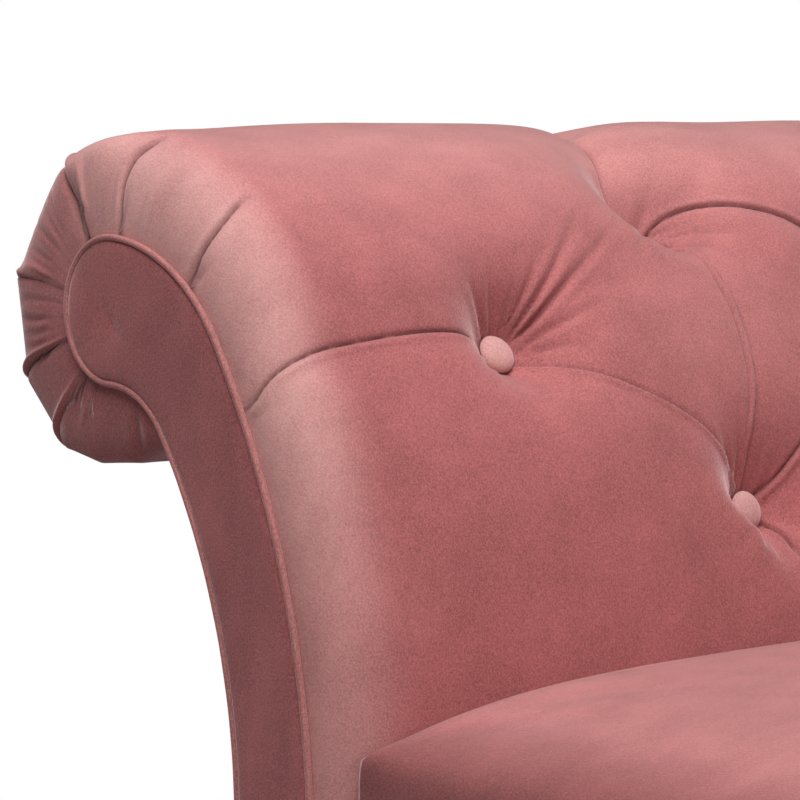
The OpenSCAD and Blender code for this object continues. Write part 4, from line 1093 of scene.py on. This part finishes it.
def remeshed(name, bm, voxel):
    """The bmesh as even quads, in a new mesh."""
    draft = bpy.data.objects.new(name + "_draft", kept(bm, name, outwards=False))
    bpy.context.scene.collection.objects.link(draft)
    remesh = draft.modifiers.new("even", "REMESH")
    remesh.mode, remesh.voxel_size = "VOXEL", voxel
    result = bpy.data.meshes.new_from_object(draft.evaluated_get(bpy.context.evaluated_depsgraph_get()))
    bpy.data.objects.remove(draft)
    return result


# %% Relaxed by pressure
def relaxed(name, mesh, held, cap, pressure=0.12, frames=20):
    """The cloth let go under pressure, where held is 1 for points that stay, each moving at most `cap`."""
    before = coordinates(mesh)
    draft = bpy.data.objects.new(name + "_cloth", mesh)
    bpy.context.scene.collection.objects.link(draft)
    group = draft.vertex_groups.new(name="held")
    for index in np.flatnonzero(held > 0.02):
        group.add([int(index)], float(held[index]), "REPLACE")
    cloth = draft.modifiers.new("cloth", "CLOTH")
    cloth.settings.quality = 6
    cloth.settings.mass = 0.25
    cloth.settings.tension_stiffness = cloth.settings.compression_stiffness = 12
    cloth.settings.bending_stiffness = 0.6
    cloth.settings.use_pressure = True
    cloth.settings.uniform_pressure_force = pressure
    cloth.settings.effector_weights.gravity = 0.0
    cloth.settings.vertex_group_mass = "held"
    cloth.collision_settings.use_collision = False
    scene = bpy.context.scene
    for frame_number in range(1, frames + 1):
        scene.frame_set(frame_number)
    after = coordinates(draft.evaluated_get(bpy.context.evaluated_depsgraph_get()).data)
    scene.frame_set(1)
    draft.modifiers.remove(cloth)
    bpy.data.objects.remove(draft)
    move = after - before
    far = np.linalg.norm(move, axis=1)
    move *= np.minimum(1, cap / np.maximum(far, 1e-9))[:, None]
    mesh.vertices.foreach_set("co", (before + move).ravel())
    print(name, "moved up to", round(float(far.max()) * 1000, 1), "mm, on average", round(float(far.mean()) * 1000, 2))
    return mesh


def trimmed_shell(mesh, low, thickness, foot_lines):
    """The mesh without its floor, smoothed, with a seam's line at each foot corner, and thickened inwards."""
    bm = opened(mesh)
    bmesh.ops.bisect_plane(bm, geom=bm.verts[:] + bm.edges[:] + bm.faces[:], plane_co=(0, 0, low),
                           plane_no=(0, 0, 1), clear_inner=True)
    for least_x in (-1, SEAT_X0 + 0.05, SEAT_X0 + 0.05):             # the head's corners stay crisper
        bmesh.ops.smooth_vert(bm, verts=[v for v in bm.verts if v.co.z > low + 0.002 and v.co.x > least_x], factor=0.5,
                              use_axis_x=True, use_axis_y=True, use_axis_z=True)
    for v in bm.verts:                                                 # and are then drawn sharp
        gap = Vector((v.co.x - SEAT_X0, SEAT_Y + 0.0015 - abs(v.co.y)))
        draw = DRAW * math.exp(-(gap.length / DRAW_REACH) ** 2)
        v.co.x -= gap.x * draw
        v.co.y += math.copysign(gap.y * draw, v.co.y)
    bm.normal_update()
    for line_xy, outward in foot_lines:
        for v in bm.verts:
            off = (Vector(v.co.xy) - Vector(line_xy)).cross(Vector(outward))
            near = (Vector(v.co.xy) - Vector(line_xy)).length
            if near < SEAM_NEAR and v.co.z < SEAM_TOP:
                v.co += v.normal * (LIP_H * bell(off - LIP_W, LIP_W) - DENT_H * bell(off, DENT_W))
    bmesh.ops.solidify(bm, geom=bm.faces[:], thickness=thickness)
    return kept(bm, mesh)


VOXEL, SEAT_COVER_T, TACKED_Z = 0.0085, 0.011, 0.155
seat_mesh = remeshed("seat", rounded_block(SEAT_X0, SEAT_X1, SEAT_Y - 0.001, HEM_Z - 0.03, SEAT_EDGE_Z,
                                           FOOT_CORNER_R, HEAD_CORNER_R, TOP_EDGE_R), VOXEL)
co = coordinates(seat_mesh)
co[:, 2] += CROWN * crown_lift(co) * ease((co[:, 2] - 0.395) / 0.05)
seat_mesh.vertices.foreach_set("co", co.ravel())
held = np.where(co[:, 2] < TACKED_Z, 1.0, 0.0)
held = np.maximum(held, 1 - ease((co[:, 0] - SEAT_X0) / 0.03))
seat_mesh = relaxed("seat", seat_mesh, held, np.where(co[:, 2] > 0.43, 0.0015, 0.0025))
diagonal = math.sqrt(0.5)
corner_in = FOOT_CORNER_R * (1 - diagonal)
foot_lines = [((SEAT_X1 - corner_in, s * (SEAT_Y - corner_in)), (diagonal, s * diagonal)) for s in (-1, 1)]
seat_mesh = trimmed_shell(seat_mesh, HEM_Z, SEAT_COVER_T, foot_lines)
co = coordinates(seat_mesh)
# Painted shade darkens the colour towards the long edges and the foot, and a painted highlight pales the crown.
rim = ease((off_middle(co) - 0.75) / 0.25)
upper_part = ease((co[:, 2] - 0.40) / 0.05)
carry(seat_mesh, folded=rim * (0.12 + 0.48 * upper_part), stretched=0.2 * (1 - rim) * upper_part)
seat = finished("seat_cover_crowned", seat_mesh, rose_velvet)
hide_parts("seat_cover")

# %% [markdown]
# ## What lies under the covers
# Under the cover are a block of foam, a felt over crossed webbing, and a firm
# foam sheet bent over the board at the head. Nobody sees them until the couch
# is opened, yet they are modelled as themselves: the foam follows the crown,
# the straps are stretched flat and drop at their woven edges, and the felt
# has the seat's rounded foot corners.

# %% Fillings
FOAM_Z, DECK_Z, RAIL_IN_Y, BOARD_Y = 0.3063, 0.300, 0.359, 0.399
COVER_T = 0.0145                              # from the cover's outside to the foam

foam_block = rounded_block(SEAT_X0 + 0.001, SEAT_X1 - COVER_T, SEAT_Y - COVER_T, FOAM_Z, SEAT_EDGE_Z - COVER_T,
                           0.041, 0.022, 0.004)
foam_mesh = remeshed("seat_foam", foam_block, 0.014)
co = coordinates(foam_mesh)
co[:, 2] += (CROWN - 0.001) * crown_lift(co, 0.032) * ease((co[:, 2] - 0.38) / 0.05)
foam_mesh.vertices.foreach_set("co", co.ravel())
seat_foam = finished("seat_foam_block", foam_mesh, foam)
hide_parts("seat_foam")

UNDER_BOARD, BENT_T = 0.0119, 0.0115          # the bent sheet's outside, inwards from the outline, and its thickness
bent_way = outline(-UNDER_BOARD, TAIL_TOP, 0.008)
last = int(np.argmin(np.abs(bent_way - (scroll - (0, SCROLL_R - UNDER_BOARD))).sum(1)))
bent_way = bent_way[:last + 1]                # it ends under the scroll
bent_y = np.linspace(-BOARD_Y + 0.0005, BOARD_Y - 0.0005, 61)
bent = np.stack(np.broadcast_arrays(bent_way[:, None, 0], bent_y[None, :], bent_way[:, None, 1]), -1)
head_foam = finished("head_foam_sheet", cloth_sheet("head_foam_sheet", bent, BENT_T), foam)
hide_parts("head_foam")


STRAP_W, STRAP_T, CROSS, LONG = 0.060, 0.0015, 9, 4
CROSS_END_Y, FOOT_X, LONG_END_X = 0.3775, 0.836, 0.8297
STRAP_LESS, EDGE_DROP, FELT_T = 0.0003, 0.0002, 0.0022         # the straps are a little thin, and drop at the edges


def strap(start, end, across):
    """A webbing strap between two points, a little lower at its edges."""
    t = np.linspace(0, 1, 41)[:, None]
    w = np.linspace(-0.5, 0.5, 9)[None, :]
    spine = np.array(start) * (1 - t) + np.array(end) * t
    points = spine[:, None, :] + np.array(across) * (w * STRAP_W)[..., None]
    points = points - np.array([0, 0, 1.0]) * (EDGE_DROP * np.abs(2 * w) ** 6)[..., None]
    return cloth_sheet("strap", points, STRAP_T - STRAP_LESS)


def joined(name, meshes, material):
    """Several meshes as one piece."""
    bm = bmesh.new()
    for mesh in meshes:
        bm.from_mesh(mesh)
        bpy.data.meshes.remove(mesh)
    return finished(name, kept(bm, name, outwards=False), material)


straps = []
for i in range(CROSS):
    x = SEAT_X0 + STRAP_W + (FOOT_X - SEAT_X0 - 2 * STRAP_W) * i / (CROSS - 1)
    straps.append(strap((x, -CROSS_END_Y, DECK_Z + STRAP_T), (x, CROSS_END_Y, DECK_Z + STRAP_T), (-1, 0, 0)))
cross_webbing = joined("cross_webbing_straps", straps, webbing)
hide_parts("cross_webbing")
long_x0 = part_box("long_webbing")[0].x
straps = []
for i in range(LONG):
    y = RAIL_IN_Y * ((2 * i + 1) / LONG - 1)
    straps.append(strap((long_x0, y, DECK_Z + 2 * STRAP_T), (LONG_END_X, y, DECK_Z + 2 * STRAP_T), (0, 1, 0)))
long_webbing = joined("long_webbing_straps", straps, webbing)
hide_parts("long_webbing")


def box_grid(low, high, z, cols, rows):
    """A flat grid over a node's box."""
    bm = bmesh.new()
    bmesh.ops.create_grid(bm, x_segments=cols, y_segments=rows, size=0.5)
    bmesh.ops.scale(bm, vec=(high.x - low.x, high.y - low.y, 1), verts=bm.verts)
    bmesh.ops.translate(bm, vec=((high.x + low.x) / 2, 0, z), verts=bm.verts)
    return bm


felt_low, felt_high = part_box("deck_felt")
bm = box_grid(felt_low, felt_high, felt_high.z, 90, 50)
corner_at = Vector((SEAT_X1 - FOOT_CORNER_R, SEAT_Y - FOOT_CORNER_R))
for v in bm.verts:                            # the square corners at the foot are drawn to round ones
    away = Vector((v.co.x - corner_at.x, abs(v.co.y) - corner_at.y))
    if away.x > 0 and away.y > 0:
        square = max(away.x, away.y)
        away = away * (square / away.length)
        v.co.x, v.co.y = corner_at.x + away.x, math.copysign(corner_at.y + away.y, v.co.y)
    v.co.z -= 0.0003 * (1 + math.sin(v.co.x * 60) * math.sin(v.co.y * 43))
bmesh.ops.solidify(bm, geom=bm.faces[:], thickness=FELT_T)
deck_felt = finished("deck_felt_layer", kept(bm, "deck_felt_layer"), felt)
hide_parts("deck_felt")

# %% [markdown]
# ## The dust cover
# A thin black cloth closes the underside between the rails and hides the
# webbing. It is stapled flat at its edges and cut round the four legs. The
# outline with its four holes is filled with triangles, which are divided so
# that the cloth can hang by a few millimetres in the middle.

# %% Dust cover
LEG_XS, LEG_Y, LEG_HOLE_R, DUST_HALF = (-0.567921, 0.7825), 0.3305, 0.030, 0.377
LEGS_AT = [(x, s * LEG_Y) for x in LEG_XS for s in (-1, 1)]
SAG, SAG_REACH, LEG_REACH, DUST_T = 0.003, 0.25, 0.15, 0.0007         # it hangs fully this far from rail and leg
dust_low, dust_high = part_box("dust_cover")
bm = box_grid(dust_low, dust_high, 0, 1, 1)
bmesh.ops.delete(bm, geom=bm.faces[:], context="FACES_ONLY")
bmesh.ops.subdivide_edges(bm, edges=bm.edges[:], cuts=24)
for x, y in LEGS_AT:
    bmesh.ops.create_circle(bm, segments=40, radius=LEG_HOLE_R, matrix=Matrix.Translation((x, y, 0)))
bmesh.ops.triangle_fill(bm, edges=bm.edges[:], use_beauty=True)
bmesh.ops.subdivide_edges(bm, edges=[e for e in bm.edges if e.calc_length() > 0.04], cuts=5, use_grid_fill=True)
for v in bm.verts:
    near_leg = min((Vector(v.co.xy) - Vector(at)).length for at in LEGS_AT)
    from_rail = min(v.co.x - dust_low.x, dust_high.x - v.co.x, DUST_HALF - abs(v.co.y))
    hang = min(from_rail / SAG_REACH, max(near_leg - LEG_HOLE_R, 0) / LEG_REACH, 1)
    v.co.z = HEM_Z - 0.0002 - SAG * max(hang, 0) ** 1.5 - 0.0004 * abs(math.sin(v.co.x * 40)) * max(hang, 0)
bm.normal_update()
bmesh.ops.solidify(bm, geom=bm.faces[:], thickness=DUST_T)
dust = finished("dust_cover_cloth", kept(bm, "dust_cover_cloth"), dust_cloth)
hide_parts("dust_cover")

# %% [markdown]
# ## Legs
# The legs are turned: a tapered foot, a swelling, a bead and a collar that
# meets the rail. A lathe turns a profile about an axis, and spin does the
# same, with enough steps that the round stays round in a close view.

# %% Turned legs
LEG_H, GLIDE_H, TOP_R, FOOT_R, COLLAR_H, BEAD_R = 0.130, 0.004, 0.029, 0.016, 0.014, 0.007
NECK_R, COLLAR_Z, HAIR = TOP_R * 0.72, LEG_H - COLLAR_H, 0.0002       # a hair's gap keeps faces from lying in one
BEAD_Z = COLLAR_Z - 2 * BEAD_R
leg_profile = [(0.0, GLIDE_H), (FOOT_R - 0.0022, GLIDE_H), (FOOT_R - 0.0008, GLIDE_H + 0.0006),
               (FOOT_R, GLIDE_H + 0.0022)]
for share_up in np.arange(25) / 24:
    fullness = math.sin(math.pi / 2 * share_up ** 0.8) * (1 - 0.12 * share_up ** 2)
    leg_profile.append((FOOT_R + (TOP_R - FOOT_R) * fullness,
                        GLIDE_H + BEAD_R + (BEAD_Z - GLIDE_H - BEAD_R) * share_up))
leg_profile += [(NECK_R, BEAD_Z + HAIR)]
leg_profile += [(NECK_R + BEAD_R * math.cos(a), BEAD_Z + BEAD_R * (1 + math.sin(a))) for a in arc_steps(-84, 84, 14)]
leg_profile += [(NECK_R, COLLAR_Z - HAIR), (TOP_R - 0.0015, COLLAR_Z), (TOP_R, COLLAR_Z + 0.0015),
                (TOP_R, LEG_H - 0.0012), (TOP_R - 0.001, LEG_H - HAIR), (0.0, LEG_H - HAIR)]
for name, (x, y) in zip(("front_head_leg", "rear_head_leg", "front_foot_leg", "rear_foot_leg"), LEGS_AT):
    leg = finished(name + "_turned", spun(name + "_turned", leg_profile, 96, Matrix.Translation((x, y, 0))),
                   walnut)
    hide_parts(name)

# %% [markdown]
# ## Finishes for the frame
# The rest of the solids have the right shape already, so they only get the
# finish of what they are made of. The record says which slot each one has.

# %% Frame finishes
MADE_OF = {               # slot, its finish, and the nodes that have it; all others are pine
    "plywood": (plywood, ("front_facing_board", "rear_facing_board", "tufting_board", "outside_backer",
                          "head_front_board", "head_rear_board", "head_front_rib", "head_rear_rib")),
    "twine": (twine, ("button_twine",)),
    "nylon": (nylon, ("twine_toggles", "glides")),
    "zinc_steel": (zinc_steel, ("frame_bolts", "frame_nuts", "leg_bolts", "threaded_inserts")),
}
FINISH_OF = {name: (slot, finish) for slot, (finish, names) in MADE_OF.items() for name in names}
frame_pieces = [o for o in nodes.values() if not o.hide_render]
for o in frame_pieces:
    slot, finish = FINISH_OF.get(o.name, ("pine", pine))
    o.data.materials.clear()
    o.data.materials.append(finish)
print("frame pieces with a finish:", len(frame_pieces))

# %% [markdown]
# ## Light and floor
# Plain studio light from three soft lamps that look at the head end: a key
# high up at the front, which lights the seat and the rounded edges, a weak one
# from the foot side for the buttoned face, and one overhead for the roll's
# top. A low even fill comes from all round. The background is white for the
# camera alone. The floor is pale, keeps the shadow of the couch near it, and
# turns to the white of the background further out; to the light that bounces
# off it, it is a darker grey, so that it doesn't wash out the underside.

# %% Studio
WHITE_FROM, WHITE_AT = 0.75, 1.45             # metres out where the floor starts to turn white, and is white
LONG_WAY = 0.75                               # the pale oval is longer along X
WORLD_FILL = 0.12
floor_bm = bmesh.new()
bmesh.ops.create_grid(floor_bm, x_segments=1, y_segments=1, size=14.0)
floor_mesh = kept(floor_bm, "floor", outwards=False)
floor = bpy.data.objects.new("floor", floor_mesh)
bpy.context.scene.collection.objects.link(floor)
floor_finish = Finish("pale_floor", Roughness=0.9, Specular_IOR_Level=0.0, Emission_Strength=1.0)
place = floor_finish.add("VectorMath", {"operation": "MULTIPLY"}, floor_finish.where, (LONG_WAY, 1.0, 0.0),
                         pick="Vector")
far = floor_finish.add("VectorMath", {"operation": "LENGTH"}, place, pick="Value")
far = ((far - WHITE_FROM) / (WHITE_AT - WHITE_FROM)).clamped()
far = far * far * (3 - far * 2)
to_camera = floor_finish.add("LightPath", {}, pick="Is Camera Ray")
seen = to_camera
for ray in ("Is Glossy Ray", "Is Transmission Ray"):
    seen = seen.math("MAXIMUM", floor_finish.add("LightPath", {}, pick=ray))
turned_white = far * seen


def grey(light):
    return (light, light, light, 1)


floor_tone = floor_finish.blend(floor_finish.noise(2.0, 2.0) * 0.4, grey(0.80), grey(0.86))
floor_tone = floor_finish.blend(to_camera, grey(0.42), floor_tone)
floor_finish.feed("Base Color", floor_finish.blend(turned_white, floor_tone, grey(0)))
floor_finish.feed("Emission Color", floor_finish.blend(turned_white, grey(0), grey(1)))
floor_mesh.materials.append(floor_finish.material)


def lamp(name, azimuth, elevation, distance, size, power):
    """A square soft lamp that looks at the head end."""
    way = way_to(math.radians(azimuth), math.radians(elevation))
    light = bpy.data.lights.new(name, "AREA")
    light.size, light.energy = size, power
    made = bpy.data.objects.new(name, light)
    made.location = HEAD_END + way * distance
    made.rotation_mode = "QUATERNION"
    made.rotation_quaternion = way.to_track_quat("Z", "Y")
    bpy.context.scene.collection.objects.link(made)


HEAD_END = Vector((-0.5, -0.1, 0.6))
lamp("key", 33, 60, 3.4, 2.2, 86)
lamp("side", 80, 20, 3.2, 1.8, 15)
lamp("top", 120, 80, 3.4, 2.2, 78)
world = bpy.data.worlds.new("studio")
bpy.context.scene.world = world
world.use_nodes = True
tree = world.node_tree
glow = tree.nodes["Background"]
glow.inputs["Strength"].default_value = WORLD_FILL
plain = tree.nodes.new("ShaderNodeBackground")
plain.inputs["Color"].default_value, plain.inputs["Strength"].default_value = (1, 1, 1, 1), 1.0
rays, mixed = tree.nodes.new("ShaderNodeLightPath"), tree.nodes.new("ShaderNodeMixShader")
seen = rays.outputs["Is Camera Ray"]
for ray in ("Is Glossy Ray", "Is Transmission Ray"):
    either = tree.nodes.new("ShaderNodeMath")
    either.operation = "MAXIMUM"
    tree.links.new(seen, either.inputs[0])
    tree.links.new(rays.outputs[ray], either.inputs[1])
    seen = either.outputs[0]
tree.links.new(seen, mixed.inputs["Fac"])
tree.links.new(glow.outputs[0], mixed.inputs[1])
tree.links.new(plain.outputs[0], mixed.inputs[2])
tree.links.new(mixed.outputs[0], tree.nodes["World Output"].inputs["Surface"])
bpy.context.scene.view_settings.view_transform = "Standard"
